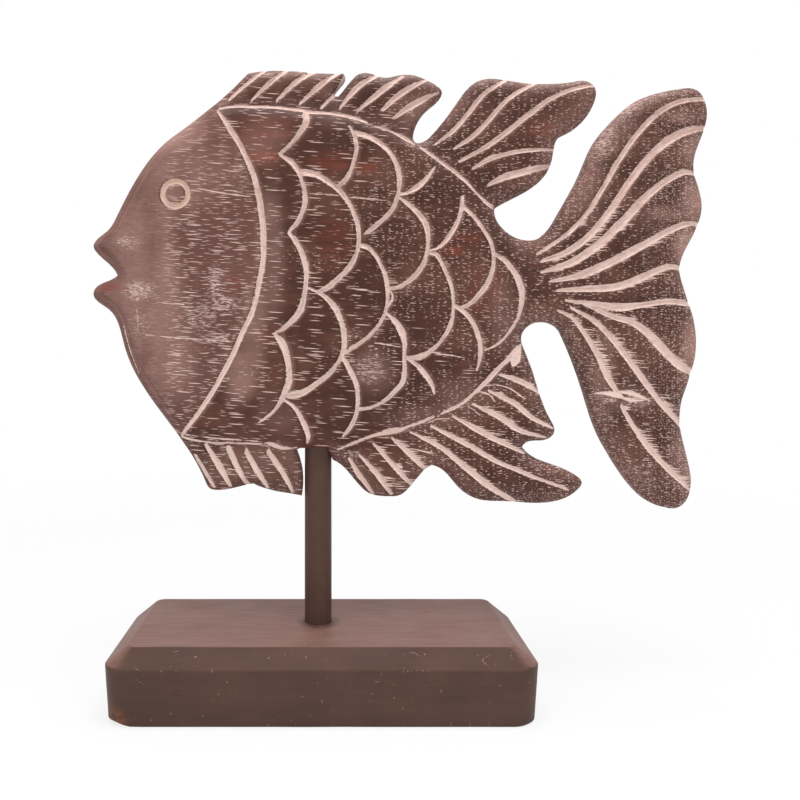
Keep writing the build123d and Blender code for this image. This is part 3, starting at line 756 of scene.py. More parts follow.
def gouged(points):
    """The change of height by the cuts, and each spot's place in its cut: inside the edge, along, across."""
    depth, hollow, lift, along, across = np.zeros((5, len(points)))
    inside = np.full(len(points), FAR_OUTSIDE)
    for number, (kind, cut) in enumerate(cuts):
        low, high = cut[:, :2].min(0) - CUT_REACH, cut[:, :2].max(0) + CUT_REACH
        near = np.flatnonzero(((points > low) & (points < high)).all(1))
        gap = points[near][:, None] - cut[None, :, :2]
        away = np.hypot(gap[..., 0], gap[..., 1])
        margin = cut[None, :, 2] - away
        best = margin.argmax(1)
        row = np.arange(len(near))
        margin, away, half = margin[row, best], away[row, best], cut[best, 2]
        margin = margin - SHALLOW * (kind == "scratch")
        run = np.gradient(cut[:, :2], axis=0)[best]
        offset = points[near] - cut[best, :2]
        side = np.sign(run[:, 0] * offset[:, 1] - run[:, 1] * offset[:, 0])
        nearer = margin > inside[near]
        along[near] = np.where(nearer, best * CUT_STEP + number * CUT_SPREAD, along[near])
        across[near] = np.where(nearer, side * away, across[near])
        inside[near] = np.maximum(inside[near], margin)
        bowl = np.clip(1 - (away / half) ** 2, 0, 1) * CUT_DEPTH[kind] * np.minimum(half, DEEP_HALF)
        depth[near] = np.maximum(depth[near], bowl)
        if kind == "ray":
            hollow[near] = np.maximum(hollow[near], HOLLOW_DEPTH * np.exp(-(away / HOLLOW_WIDTH) ** 2))
        if kind == "scale":
            step = -side * SCALE_LIFT * np.exp(-away / SCALE_REACH) * smoothstep(half, *LIFT_FADE)
            lift[near] = np.where(np.abs(step) > np.abs(lift[near]), step, lift[near])
    return lift - depth - hollow, inside, along, across


def unevenness(points, seed):
    """The hand-made ups and downs of one face."""
    return sum(rise * np.array([noise.noise((x / size, z / size, seed)) for x, z in points])
               for size, rise in UNEVEN)


print("relief ready for", len(cuts), "cuts")

# %% [markdown]
# ## The fish's mesh
# A grid fine enough for every cut would be far too heavy. Points are strewn where the shape needs them
# instead: along the outline, in rows beside it for the rounding, in rows across every cut, and thinly
# elsewhere.

# %% Strewing the points
GRID_STEP = 2.3
ROW_SHARE = 0.87         # rows of even triangles lie closer together than their points
EDGE_ROWS = (0.25, 0.6, 1.1, 1.8, 2.7, 4.0, 5.8, 8.0)
THIN_FROM = 2            # rows further in than this have half the points
SAME_EDGE = 0.9          # points nearer to the outline than this share of their row's distance are left out
CUT_ROWS = (0, 0.5, 0.85, 1.0)
CUT_SHOULDER = 0.45
CUT_POINT_STEP = 1.0
CLOSEST = 0.33
ALONE = 0.6              # share of the grid's step kept free around the rows
ahead = np.roll(outline, -1, axis=0) - np.roll(outline, 1, axis=0)
inward_normal = np.stack([-ahead[:, 1], ahead[:, 0]], axis=1) / np.hypot(*ahead.T)[:, None]


def edge_points():
    for distance in EDGE_ROWS:
        row = outline + inward_normal * distance
        row = row[::2] if distance > THIN_FROM else row
        yield row[edge_distance(row) > SAME_EDGE * distance]


def cut_points():
    for kind, cut in cuts:
        path = cut[::max(1, round(CUT_POINT_STEP / CUT_STEP))]
        run = np.gradient(path[:, :2], axis=0)
        across = np.stack([-run[:, 1], run[:, 0]], axis=1) / np.hypot(*run.T)[:, None]
        for part in CUT_ROWS:
            for side in ((-1, 1) if part else (1,)):
                yield path[:, :2] + across * path[:, 2:] * part * side
        for side in (-1, 1):
            yield path[:, :2] + across * (path[:, 2:] + CUT_SHOULDER) * side


def grid_points():
    rows = np.arange(fish_low.z, fish_high.z, GRID_STEP * ROW_SHARE)
    for number, z in enumerate(rows):
        x = np.arange(fish_low.x, fish_high.x, GRID_STEP) + (number % 2) * GRID_STEP / 2
        yield np.stack([x, np.full(len(x), z)], axis=1)


def thinned(rows, closest):
    """The points in order, without those that crowd one that came before."""
    taken, kept = set(), []
    for point in np.vstack(rows):
        cell = (int(point[0] // closest), int(point[1] // closest))
        if cell not in taken:
            taken.add(cell)
            kept.append(point)
    return np.array(kept)


close_rows = thinned([*cut_points(), *edge_points()], CLOSEST)
close_tree = KDTree(len(close_rows))
for number, spot in enumerate(close_rows):
    close_tree.insert((*spot, 0), number)
close_tree.balance()
open_rows = np.vstack(list(grid_points()))
alone = [close_tree.find((x, z, 0))[2] > ALONE * GRID_STEP for x, z in open_rows]
inner = np.vstack([close_rows, open_rows[alone]])
print(len(close_rows), "points in rows and", sum(alone), "between them")

# %% [markdown]
# A Delaunay triangulation joins the points into one flat face, with triangles as even as the points allow
# and the outline kept as its border. Filling the outline with one big face would leave Blender to choose
# long and thin triangles.

# %% One flat face
BORDER_ROOM = 0.2
JOIN_WITHIN = 1e-5
inner = inner[edge_distance(inner) > BORDER_ROOM]
flat = [Vector(p) for p in np.vstack([outline, inner])]
flat, _, triangles, *_ = delaunay_2d_cdt(flat, [], [list(range(len(outline)))], 1, JOIN_WITHIN)
flat = np.array([tuple(p) for p in flat])
print(len(flat), "points and", len(triangles), "triangles on one face")

# %% [markdown]
# The flat face becomes two carved ones: each point is pushed out by its height in the relief, to the front
# and, mirrored, to the back. A mirror modifier would make both faces alike to the last wave, so each gets
# an unevenness of its own. The strip of wall between them wanders a little, as a saw cut does.

# %% Two carved faces and the sawn wall between them
FACE_SEEDS = (1.5, 7.5)  # the front's unevenness and the back's
WALL_ROWS = (0.2, 0.5, 0.8)
SAW_WANDER, WANDER_SIZE = 0.12, 4
ROW_SEED = 9


def boundary_loop(triangles):
    """The corner numbers round the edge of a triangulated face, in order."""
    sides = {(a, b) for t in triangles for a, b in zip(t, t[1:] + t[:1])}
    follows = {a: b for a, b in sides if (b, a) not in sides}
    start = next(iter(follows))
    loop = [start]
    while follows[loop[-1]] != start:
        loop.append(follows[loop[-1]])
    return loop


triangles = [tuple(t) for t in triangles]
loop = boundary_loop(triangles)
plank = map_height(flat)
carving, inside, along_cut, across_cut = gouged(flat)
carved = plank - rounded_edge(flat) + carving
front, back = (carved + unevenness(flat, seed) for seed in FACE_SEEDS)
count = len(flat)
vertices = [(x, -y, z) for (x, z), y in zip(flat, front)] + [(x, y, z) for (x, z), y in zip(flat, back)]
faces = triangles + [tuple(count + i for i in reversed(t)) for t in triangles]
rows = [loop]
for part in WALL_ROWS:
    first = len(vertices)
    for i in loop:
        x, z = flat[i]
        wander = SAW_WANDER * noise.noise((x / WANDER_SIZE, z / WANDER_SIZE, part * ROW_SEED))
        vertices.append((x + wander, -front[i] + (front[i] + back[i]) * part, z + wander))
    rows.append(list(range(first, first + len(loop))))
rows.append([count + i for i in loop])
for upper, lower in zip(rows, rows[1:]):
    for i in range(len(loop)):
        j = (i + 1) % len(loop)
        faces.append((upper[i], lower[i], lower[j], upper[j]))
fish_mesh = bpy.data.meshes.new("carved_fish")
fish_mesh.from_pydata([Vector(v) * MM for v in vertices], [], faces)
fish_mesh.validate()
carved_fish = bpy.data.objects.new("carved_fish", fish_mesh)
bpy.context.scene.collection.objects.link(carved_fish)
print("carved fish of", len(fish_mesh.vertices), "points and", len(fish_mesh.polygons), "faces")

# %% [markdown]
# ## Facts for the finish
# The finish has to know where a hand has rubbed the wood, and where a sheen is painted. Such marks could be
# painted on the mesh with a brush. Here they are patches, each drawn as a place, two radii and a strength,
# which are easy to move: a thin pale haze, partly limewash and partly painted sheen where rounded faces
# catch the light, limewash scrubbed into the wood, and stain rubbed back to red.

# %% Patches of wear
HAZE_AND_SHEEN_PATCHES = [
    (-68, 166, 7, 34, 0.45), (-64, 146, 9, 16, 0.45), (-84, 184, 10, 30, 0.25), (-60, 225, 18, 16, 0.3),
    (-66, 245, 16, 12, 0.65), (-29, 166, 5, 14, 0.55), (-36, 139, 7, 13, 0.6), (-31, 152, 6, 14, 0.55),
    (-23, 192, 6, 28, 0.42), (-26, 240, 12, 10, 0.3), (-20, 122, 10, 8, 0.22),
    (21, 140, 9, 10, 0.35), (158, 100, 8, 14, 0.5), (162, 150, 6, 14, 0.6), (163, 178, 6, 8, 0.6),
    (160, 194, 7, 9, 0.75), (162, 214, 7, 10, 0.6), (163, 238, 7, 8, 0.45), (116, 222, 7, 26, 0.2),
    (140, 262, 14, 7, 0.2), (60, 130, 16, 8, 0.2), (78, 165, 6, 16, 0.3), (122, 140, 5, 26, 0.3),
    (40, 255, 12, 6, 0.2), (45, 120, 22, 5, 0.2), (130, 128, 12, 6, 0.35), (155, 251, 8, 3, 0.4),
    (150, 209, 10, 3, 0.4), (128, 248, 9, 12, 0.2), (-33, 100, 18, 8, 0.3),
]
SCRUB_PATCHES = [
    (-85, 196, 6, 4, 0.75), (-80, 175, 8, 5, 0.95), (-47, 178, 3.5, 10, 0.75), (-42, 169, 7, 4, 0.9),
    (-54, 164, 8, 7, 0.7), (-45, 154.5, 8, 3, 0.85), (-72, 150, 4, 6, 0.3), (20, 141, 8, 7, 0.7),
    (13, 156, 5, 3, 0.6), (122, 241, 7, 9, 0.85), (125, 128.5, 5, 3, 0.9), (137, 127, 8, 3.5, 0.7),
    (140, 94, 12, 9, 0.4), (-60, 204, 6, 2.5, 0.5), (-66, 242, 5, 3, 0.35), (84, 148, 3, 3, 0.6),
    (12, 104, 6, 3, 0.6), (78, 136, 7, 6, 0.4), (-37, 222, 5, 9, 0.4), (24, 247, 10, 2.5, 0.6),
    (40, 240, 8, 2.5, 0.6), (52, 232, 8, 2.5, 0.4), (32, 113, 14, 2, 0.5), (60, 126, 10, 2.5, 0.5),
    (-22, 107, 8, 2, 0.6), (-48, 109, 14, 1.8, 0.5), (-80, 160, 6, 9, 0.5), (131, 256, 9, 5, 0.8),
]
RUST_PATCHES = [
    (-25, 232.5, 7, 3, 1.1), (-26, 243, 14, 8, 0.5), (5, 231, 12, 4, 0.6), (18, 228, 5, 3, 0.6),
    (56, 193, 5, 2.5, 0.9), (62, 197, 7, 3, 0.6), (95, 245, 7, 3, 0.7), (25, 112, 5, 2.5, 0.8),
    (165, 214, 4, 4, 0.6), (-93.5, 177, 5, 2.5, 0.8), (-38, 178, 5, 3, 0.4), (-25, 153, 4, 5, 0.4),
    (70, 175, 8, 10, 0.3), (5, 195, 10, 12, 0.35), (-20, 157, 4, 3, 0.5),
]


def patched(points, patches):
    """The strongest patch over each spot, fading out towards the patch's rim."""
    amount = np.zeros(len(points))
    for x, z, length, height, strength in patches:
        x, z = on_plank((x, z))
        off = ((points[:, 0] - x) / length) ** 2 + ((points[:, 1] - z) / height) ** 2
        amount = np.maximum(amount, strength * np.exp(-off ** 2))
    return amount


facts = {"haze_and_sheen": patched(flat, HAZE_AND_SHEEN_PATCHES), "scrub": patched(flat, SCRUB_PATCHES),
         "rust": patched(flat, RUST_PATCHES)}
print(len(HAZE_AND_SHEEN_PATCHES + SCRUB_PATCHES + RUST_PATCHES), "patches of wear")

# %% [markdown]
# The finish has to know where the cuts are, too: how far inside a cut a point lies, and how far behind or
# before one along the grain: limewash was dragged behind the cuts, and painted shade lies before them. Every
# point of the mesh carries these facts as attributes, which the material reads. They follow the wood
# wherever it goes, without a picture.

# %% Facts from the drawing, all stored on the mesh
GRAIN_REACH = 8.0
FIN_BLEND = (0.6, 2.2)   # heights over the fins at which the body starts, and where it is all body
EDGE_BLEND = (10, 1)     # how far in the fins' edge starts to show, and where it shows fully
TAIL_END = (128, 162)    # where along the tail its stippled end starts, and where it is full
EYE_BLEND = (9, 8)       # how far from the eye's middle its limewash starts, and where it is full
WALL_OUTSIDE = -0.2      # the sawn wall is never inside a cut


def along_grain(points, kinds):
    """How far along the grain each spot lies behind a cut, on the tail's side, and before one."""
    behind, before = np.full((2, len(points)), GRAIN_REACH)
    for kind, cut in cuts:
        if kind in kinds:
            low, high = cut[:, :2].min(0) - GRAIN_REACH, cut[:, :2].max(0) + GRAIN_REACH
            near = np.flatnonzero(((points > low) & (points < high)).all(1))
            rise = points[near][:, None, 1] - cut[None, :, 1]
            run = points[near][:, None, 0] - cut[None, :, 0]
            half = np.sqrt(np.maximum(cut[None, :, 2] ** 2 - rise ** 2, 0))
            for distance, side in ((behind, 1), (before, -1)):
                gap = np.where((half > 0) & (side * run > 0), np.maximum(side * run - half, 0), GRAIN_REACH)
                distance[near] = np.minimum(distance[near], gap.min(1))
    return behind, before


def store(mesh, name, values):
    layer = mesh.attributes.new(name, "FLOAT", "POINT")
    layer.data.foreach_set("value", np.asarray(values, dtype=np.float32))


on_wall = np.tile(loop, len(WALL_ROWS))
head = ahead_of_gill(flat)
edge = edge_distance(flat)
fins = 1 - smoothstep(plank, *(FIN_HALF + rise for rise in FIN_BLEND))
eye_away = np.hypot(*(flat - on_plank(EYE)).T)
facts.update({
    "head": head, "edge": edge, "eye": smoothstep(-eye_away, *(-away for away in EYE_BLEND)),
    "fin_edge": smoothstep(-edge, *(-away for away in EDGE_BLEND)) * fins * (1 - head),
    "tail_end": smoothstep(flat[:, 0], *TAIL_END), "behind_ray": along_grain(flat, ("ray",))[0],
    "along_cut": along_cut, "across_cut": across_cut,
})
facts["behind_cut"], facts["before_cut"] = along_grain(flat, ("scale", "line", "ray"))
for name, values in facts.items():
    store(fish_mesh, name, [*values, *values, *values[on_wall]])
store(fish_mesh, "inside_cut", [*inside, *inside, *np.minimum(inside[on_wall], WALL_OUTSIDE)])
print("facts stored:", ", ".join([*facts, "inside_cut"]))

# %% [markdown]
# ## Drilling
# A drill leaves a round hole, and a Boolean modifier does the same to a mesh. One helper turns a profile
# round the post's axis: it makes the drill bits here and the dowel itself further down.

# %% A turned shape, and a hole made with one
GLUE_ROOM = 0.1
OVERSHOOT = 5            # how far a drill bit reaches past the wood


def turned(name, profile, sides=64):
    """A closed shape turned round the post's axis from (radius, height) pairs, lowest first."""
    corners, facets = [], []
    for radius, z in profile:
        for k in range(sides):
            angle = tau * k / sides
            corners.append(Vector((POST_X + radius * cos(angle), radius * sin(angle), z)) * MM)
    for row in range(len(profile) - 1):
        for k in range(sides):
            a, b = row * sides + k, row * sides + (k + 1) % sides
            facets.append((a, b, b + sides, a + sides))
    facets.append(tuple(reversed(range(sides))))
    facets.append(tuple(range(len(corners) - sides, len(corners))))
    mesh = bpy.data.meshes.new(name)
    mesh.from_pydata(corners, [], facets)
    shape = bpy.data.objects.new(name, mesh)
    bpy.context.scene.collection.objects.link(shape)
    return shape


def drill(piece, profile):
    """The piece with a turned hole cut out of it."""
    bit = turned("bit", profile)
    cut = piece.modifiers.new("hole", "BOOLEAN")
    cut.operation = "DIFFERENCE"
    cut.solver = "MANIFOLD"
    cut.object = bit
    done = bpy.data.meshes.new_from_object(piece.evaluated_get(bpy.context.evaluated_depsgraph_get()))
    piece.modifiers.clear()
    piece.data = done
    bpy.data.objects.remove(bit)


post_hole = POST_RADIUS + GLUE_ROOM
drill(carved_fish, [(post_hole, fish_low.z - OVERSHOOT), (post_hole, post_high.z)])
carved_fish.data.shade_smooth()
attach(carved_fish, "root")
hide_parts("fish")
print("drilled fish:", len(carved_fish.data.polygons), "faces")

# %% [markdown]
# ## The finish of the fish
# One picture of the whole finish would be quick to lay on, but blurred close up and hard to change. So
# layers lie over each other, as on the real thing. At the bottom is the stain, blotchy and dark on the
# body, thinner and freckled on the head, and redder where it is rubbed. Painted shade goes with it: the
# head darkens towards the gill cut, its rounded rim is darker in streaks, and a nearly black line runs
# along the mouth's side of each cut, where the gouge went in steeply and its wall is in shade. A pale haze,
# partly limewash and partly painted sheen, lies over some patches and the fins' rounded edges.

# %% The stain
STAIN_DARK, STAIN_LIGHT = from_hex("#45281f"), from_hex("#603d33")
HEAD_DARK, HEAD_LIGHT = from_hex("#68443d"), from_hex("#8b6860")
RUBBED_RED = from_hex("#7d3c2b")
CUT_SHADOW = from_hex("#2b1711")
HAZE_AND_SHEEN_PALE = from_hex("#a9837a")
RIM_SHADE = from_hex("#56362f")
limed_wood, tree, shader = new_material("limed_wood")
place = millimetres(tree)
x, y, z = split(tree, place)
on_head = attribute(tree, "head")

blotches = cloud(tree, place, (24, 24, 18), 3.0)
streaks = cloud(tree, place, (30, 12, 2.2), 3.0, 0.55)
tone = calc(tree, "ADD", calc(tree, "MULTIPLY", blotches, 0.8), calc(tree, "MULTIPLY", streaks, 0.2))
stain = blend_colour(tree, ramp(tree, tone, 0.38, 0.64), STAIN_DARK, STAIN_LIGHT)
# painted shade: the head is made darker towards the gill cut, where it rounds down into the cut
to_gill = calc(tree, "ADD", ramp(tree, x, -80, -48, 0.0, 0.30), tone)
rag_marks = calc(tree, "SUBTRACT", cloud(tree, place, (6, 6, 50), 2.0), 0.5)
to_gill = calc(tree, "MULTIPLY_ADD", rag_marks, 0.45, to_gill)
head_stain = blend_colour(tree, ramp(tree, to_gill, 0.40, 0.85), HEAD_LIGHT, HEAD_DARK)
freckles = ramp(tree, cloud(tree, place, (2.4, 2.4, 0.8), 4.0, 0.75), 0.40, 0.70, 0.0, 0.6)
head_stain = blend_colour(tree, freckles, head_stain, HEAD_DARK)
# painted shade: the head's rounded rim is darkened in streaks, within nine millimetres of the outline
along_rim = joined(tree, attribute(tree, "edge"), z)
rim_shade_streaks = ramp(tree, cloud(tree, along_rim, (1.3, 40, 1), 2.0), 0.40, 0.62)
rim = calc(tree, "MULTIPLY", rim_shade_streaks, ramp(tree, attribute(tree, "edge"), 9.0, 3.0, 0.0, 0.55))
head_stain = blend_colour(tree, rim, head_stain, RIM_SHADE)
stain = blend_colour(tree, on_head, stain, head_stain)
rubbed = calc(tree, "MULTIPLY", attribute(tree, "rust"), ramp(tree, streaks, 0.35, 0.6, 0.3, 0.9))
stain = blend_colour(tree, rubbed, stain, RUBBED_RED)
# pale haze: partly limewash and partly painted sheen from the patches, plus a painted highlight along the
# fins' rounded edges
haze_and_sheen = calc(tree, "ADD", attribute(tree, "haze_and_sheen"), calc(tree, "MULTIPLY", attribute(tree, "fin_edge"), 0.16))
lee = ramp(tree, attribute(tree, "behind_cut"), 0.0, 2.2, 0.38, 0.0)
haze_and_sheen = calc(tree, "MAXIMUM", haze_and_sheen, lee)
haze_and_sheen = calc(tree, "MULTIPLY", haze_and_sheen, ramp(tree, tone, 0.36, 0.62, 0.7, 1.0))
stain = blend_colour(tree, haze_and_sheen, stain, HAZE_AND_SHEEN_PALE)
# painted shade: a nearly black line on the mouth's side of each cut, where the gouge's steep wall is in shade
shadow = ramp(tree, attribute(tree, "before_cut"), 0.1, 1.1, 0.75, 0.0)
stain = blend_colour(tree, shadow, stain, CUT_SHADOW)
print("stain mixed:", len(tree.nodes), "nodes")

# %% [markdown]
# Limewash stays in the open pores, which run along the grain. On the left of the fish they are long and
# thin, and towards the tail they are cut across and show as dots. Stretched noise would give stripes
# without ends, so flat Voronoi cells, much longer than high, scatter the dashes.


# %% Limewash in the pores
def dashes(tree, face, size, share, strength, reach):
    """Pale dashes on the face, at most one in a cell."""
    away, luck, length = grains(tree, face, size, flat=True)
    shape = ramp(tree, calc(tree, "DIVIDE", away, ramp(tree, length, 0.0, 1.0, *reach)), 1.0, 0.5)
    return calc(tree, "MULTIPLY", shape, ramp(tree, luck, 1 - share, 1.3 - share, 0.0, strength))


# each kind: how long and high a cell is, the share of cells with a dash, its strength, its smallest and
# greatest reach in the cell
LONG_DASHES = ((18, 1.05, 1), 0.85, 1.0, (0.09, 0.24))
SHORT_DASHES = ((8, 0.85, 1), 0.6, 0.75, (0.10, 0.23))
DOTS = ((2.7, 0.8, 1), 0.7, 0.75, (0.12, 0.29))
FINE_DASHES = ((10, 0.75, 1), 0.95, 1.0, (0.12, 0.28))
GRAIN_TILT = 0.06
BACK_SHIFT = 333.0       # the back's dashes differ from the front's
on_back = calc(tree, "GREATER_THAN", y, 0.0)
tilted = calc(tree, "MULTIPLY_ADD", x, GRAIN_TILT, z)
face = joined(tree, calc(tree, "MULTIPLY_ADD", on_back, BACK_SHIFT, x), tilted)

crowding = cloud(tree, place, (20, 20, 12), 2.0)
to_tail = calc(tree, "ADD", ramp(tree, x, -10, 75, -0.16, 0.20), crowding)
long_dashes = dashes(tree, face, *LONG_DASHES)
short_dashes = dashes(tree, face, *SHORT_DASHES)
dots = dashes(tree, face, *DOTS)
fine_dashes = dashes(tree, face, *FINE_DASHES)
body_pores = calc(tree, "MAXIMUM", calc(tree, "MULTIPLY", long_dashes, ramp(tree, to_tail, 0.60, 0.42)),
                  calc(tree, "MULTIPLY", short_dashes, ramp(tree, crowding, 0.36, 0.52)))
body_pores = calc(tree, "MAXIMUM", body_pores, calc(tree, "MULTIPLY", dots, ramp(tree, to_tail, 0.44, 0.58)))
chatter = ramp(tree, cloud(tree, place, (4, 4, 45), 1.0), 0.42, 0.58, 0.35, 1.0)
head_right = ramp(tree, calc(tree, "MULTIPLY_ADD", crowding, 18, x), -68, -50, 0.08, 1.0)
head_pores = calc(tree, "MAXIMUM", calc(tree, "MULTIPLY", fine_dashes, chatter),
                  calc(tree, "MAXIMUM", long_dashes, short_dashes))
head_pores = calc(tree, "MULTIPLY", head_pores, head_right)
head_pores = calc(tree, "MULTIPLY", head_pores, ramp(tree, z, 252, 228, 0.45, 1.0))
not_head = calc(tree, "SUBTRACT", 1.0, on_head)
pores = calc(tree, "MULTIPLY_ADD", on_head, head_pores, calc(tree, "MULTIPLY", not_head, body_pores))
print("pores filled:", len(tree.nodes), "nodes")

# %% [markdown]
# Near the sawn edges of the fins and the tail the pores are cut across and crowd into a fine stipple, which
# is the same dashes with nearly square cells. In the scrubbed patches limewash was worked into the wood and
# left as a scribble of flat specks, for which noise is enough.

# %% Stipple and scrubbed patches
STIPPLE = ((1.15, 0.8, 1), 0.8, 0.55, (0.2, 0.42))
stipple_here = calc(tree, "MULTIPLY", attribute(tree, "fin_edge"), ramp(tree, x, 60, 110, 0.35, 0.8))
stipple_here = calc(tree, "MAXIMUM", stipple_here, attribute(tree, "tail_end"))
stipple = dashes(tree, face, *STIPPLE)
stipple = calc(tree, "MULTIPLY", stipple, stipple_here)
scrub = attribute(tree, "scrub")
scribble = calc(tree, "MULTIPLY_ADD", scrub, 0.20, cloud(tree, place, (1.8, 1.8, 0.45), 3.0, 0.65))
scrubbed = calc(tree, "MULTIPLY", ramp(tree, scribble, 0.58, 0.82), ramp(tree, scrub, 0.04, 0.6, 0.0, 0.85))
pores = calc(tree, "MAXIMUM", pores, calc(tree, "MAXIMUM", stipple, scrubbed))
print("stippled and scrubbed:", len(tree.nodes), "nodes")

# %% [markdown]
# Last comes the limewash in the cuts. How far inside a cut a point lies decides where it goes, and noise
# that runs along the cut frays its edge. Behind the rays the rag pulled it along the grain into fine
# hairs, which are long in some places and missing in others.

# %% Limewash in the cuts
LIME_BRIGHT, LIME_DULL = from_hex("#e8ccc2"), from_hex("#c8a69c")
EYE_LIME = from_hex("#cfae98")
in_cut = joined(tree, attribute(tree, "along_cut"), attribute(tree, "across_cut"))
strokes = cloud(tree, in_cut, (11, 0.45, 1), 2.0, 0.6)
crumbs = cloud(tree, place, (3.0, 3.0, 0.5), 2.0, 0.6)
fray = calc(tree, "SUBTRACT", calc(tree, "ADD", strokes, crumbs), 1.0)
filled = ramp(tree, calc(tree, "MULTIPLY_ADD", fray, 1.05, attribute(tree, "inside_cut")), -0.2, 0.16)
hairs = cloud(tree, face, (14, 0.6, 1), 2.0)
hairy = ramp(tree, cloud(tree, place, (9, 9, 7), 1.0), 0.40, 0.62)
hairy = calc(tree, "MULTIPLY", hairy, calc(tree, "MULTIPLY", ramp(tree, x, 15, 30), ramp(tree, z, 222, 208)))
hair_length = calc(tree, "MULTIPLY", ramp(tree, hairs, 0.40, 0.74, 0.0, 6.0), hairy)
hair = ramp(tree, calc(tree, "SUBTRACT", hair_length, attribute(tree, "behind_ray")), -0.1, 0.7, 0.0, 0.9)
filled = calc(tree, "MAXIMUM", filled, hair)
lime_tone = calc(tree, "ADD", strokes, cloud(tree, place, (3, 3, 2), 4.0, 0.8))
lime_tone = calc(tree, "ADD", lime_tone, ramp(tree, z, 95, 265, 0.10, -0.12))
lime = blend_colour(tree, ramp(tree, lime_tone, 0.70, 1.16), LIME_DULL, LIME_BRIGHT)
lime = blend_colour(tree, calc(tree, "MULTIPLY", attribute(tree, "eye"), 0.6), lime, EYE_LIME)
pale = calc(tree, "MAXIMUM", filled, pores)
feed(tree, shader.inputs["Base Color"], blend_colour(tree, pale, stain, lime))
feed(tree, shader.inputs["Roughness"], ramp(tree, pale, 0.0, 1.0, 0.5, 0.85))
shader.inputs["Specular IOR Level"].default_value = 0.2
surface = calc(tree, "ADD", calc(tree, "MULTIPLY", streaks, 0.3), calc(tree, "MULTIPLY", pale, -0.4))
feed(tree, shader.inputs["Normal"], bump(tree, surface, 0.4, 0.2))
carved_fish.data.materials.clear()
carved_fish.data.materials.append(limed_wood)
print("limed wood:", len(tree.nodes), "nodes")

# %% [markdown]
# ## The post
# The dowel is a bought length of round stick, sanded by hand. A plain cylinder would look too true, so
# sixty rings with slightly different radii are turned, and the two ends have the broken edges of the
# solid.

# %% A dowel that is not quite true
POST_EDGE = 0.8
POST_RINGS = 60
POST_SANDED = 0.06       # taken off the radius
POST_WAVER, WAVER_LENGTH = 0.05, 14
WAVER_SEED = (0.3, 0.7)
post_profile = [(POST_RADIUS - POST_EDGE, post_low.z)]
for height in np.linspace(post_low.z + POST_EDGE, post_high.z - POST_EDGE, POST_RINGS):
    waver = POST_WAVER * noise.noise((*WAVER_SEED, height / WAVER_LENGTH))
    post_profile.append((POST_RADIUS - POST_SANDED + waver, height))
post_profile.append((POST_RADIUS - POST_EDGE, post_high.z))
dowel = turned("dowel", post_profile)
dowel.data.shade_smooth()
dowel.data.set_sharp_from_angle(angle=radians(35))
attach(dowel, "root")
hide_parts("post")
print("dowel", round(post_high.z - post_low.z, 1), "mm long")

# %% [markdown]
# ## The base block
# The block is sawn, bevelled with a plane, and its edges are rubbed round by years of dusting. A cube with
# a bevel modifier has the same width of bevel everywhere, but here the ends are bevelled wider than the
# sides. So the block is a pile of rounded rectangles, each a little further in or higher up than the one
# before, like the contour lines of a hill. The upright corners are wide, and the bevel narrows them to the
# small corners of the flat top.

# %% A pile of rounded rectangles
base_low, base_high = (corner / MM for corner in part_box("base"))
BASE_TOP = base_high.z
DRAFT = 1.2
BEVEL_RISE, BEVEL_SIDE, BEVEL_END = 7.6, 5.5, 9.5
BEVEL_FOOT = BASE_TOP - BEVEL_RISE
CORNER, TOP_CORNER = 10.0, 4.0
CORNER_STEPS = 8
SIDE_STEPS = (14, 30)    # parts of a short and of a long side
BEVEL_RUB = 0.05         # how much the rubbing took off the bevel's foot
# each ring below the bevel: its height, and how much the rubbing took off there
SIDE_RINGS = (
    (0.0, 0.9), (0.2, 0.4), (0.6, 0.1), (1.3, 0.0), (6.0, 0.0), (11.0, 0.0), (16.0, 0.0),
    (BEVEL_FOOT - 1.6, 0.0), (BEVEL_FOOT - 0.5, 0.02), (BEVEL_FOOT - 0.1, BEVEL_RUB),
)
BEVEL_RINGS = (0.25, 0.7, 2.5, 5.0, BEVEL_RISE - 0.7, BEVEL_RISE - 0.3, BEVEL_RISE - 0.08)
TOP_RINGS = (0.5, 1.2, 5.0, 10.5, 18.5, 26.5)


def block_rings():
    """Each ring's height, how far in it is at the ends and at the sides, and its corner radius."""
    for z, rubbed_off in SIDE_RINGS:
        lean = DRAFT * (1 - z / BEVEL_FOOT) + rubbed_off
        yield z, lean, lean, CORNER
    for rise in BEVEL_RINGS:
        up = rise / BEVEL_RISE
        radius = CORNER + (TOP_CORNER - CORNER) * up
        yield BEVEL_FOOT + rise, BEVEL_END * up + BEVEL_RUB, BEVEL_SIDE * up + BEVEL_RUB, radius
    for inward in TOP_RINGS:
        yield BASE_TOP, BEVEL_END + inward, BEVEL_SIDE + inward, TOP_CORNER


def rounded_rectangle(length, depth, radius):
    """Points round a level rectangle, counter-clockwise from its right front corner."""
    points = []
    for quarter, (side_x, side_y) in enumerate(((1, -1), (1, 1), (-1, 1), (-1, -1))):
        for k in range(CORNER_STEPS + 1):
            angle = (quarter - 1 + k / CORNER_STEPS) * pi / 2
            points.append((side_x * (length / 2 - radius) + radius * cos(angle),
                           side_y * (depth / 2 - radius) + radius * sin(angle)))
        x, y = points[-1]
        for t in np.linspace(1, -1, SIDE_STEPS[quarter % 2] + 1)[1:-1]:
            points.append((x * t, y) if quarter % 2 else (x, y * t))
    return points


print(len(list(block_rings())), "rings for the block")

# %% [markdown]
# Years on a shelf have worn the feet of the two front corners, the one under the fish's mouth most. A brush
# could sculpt that wear; here each corner has a reach and a lift, and every point of the pile is moved
# before the rings are joined.

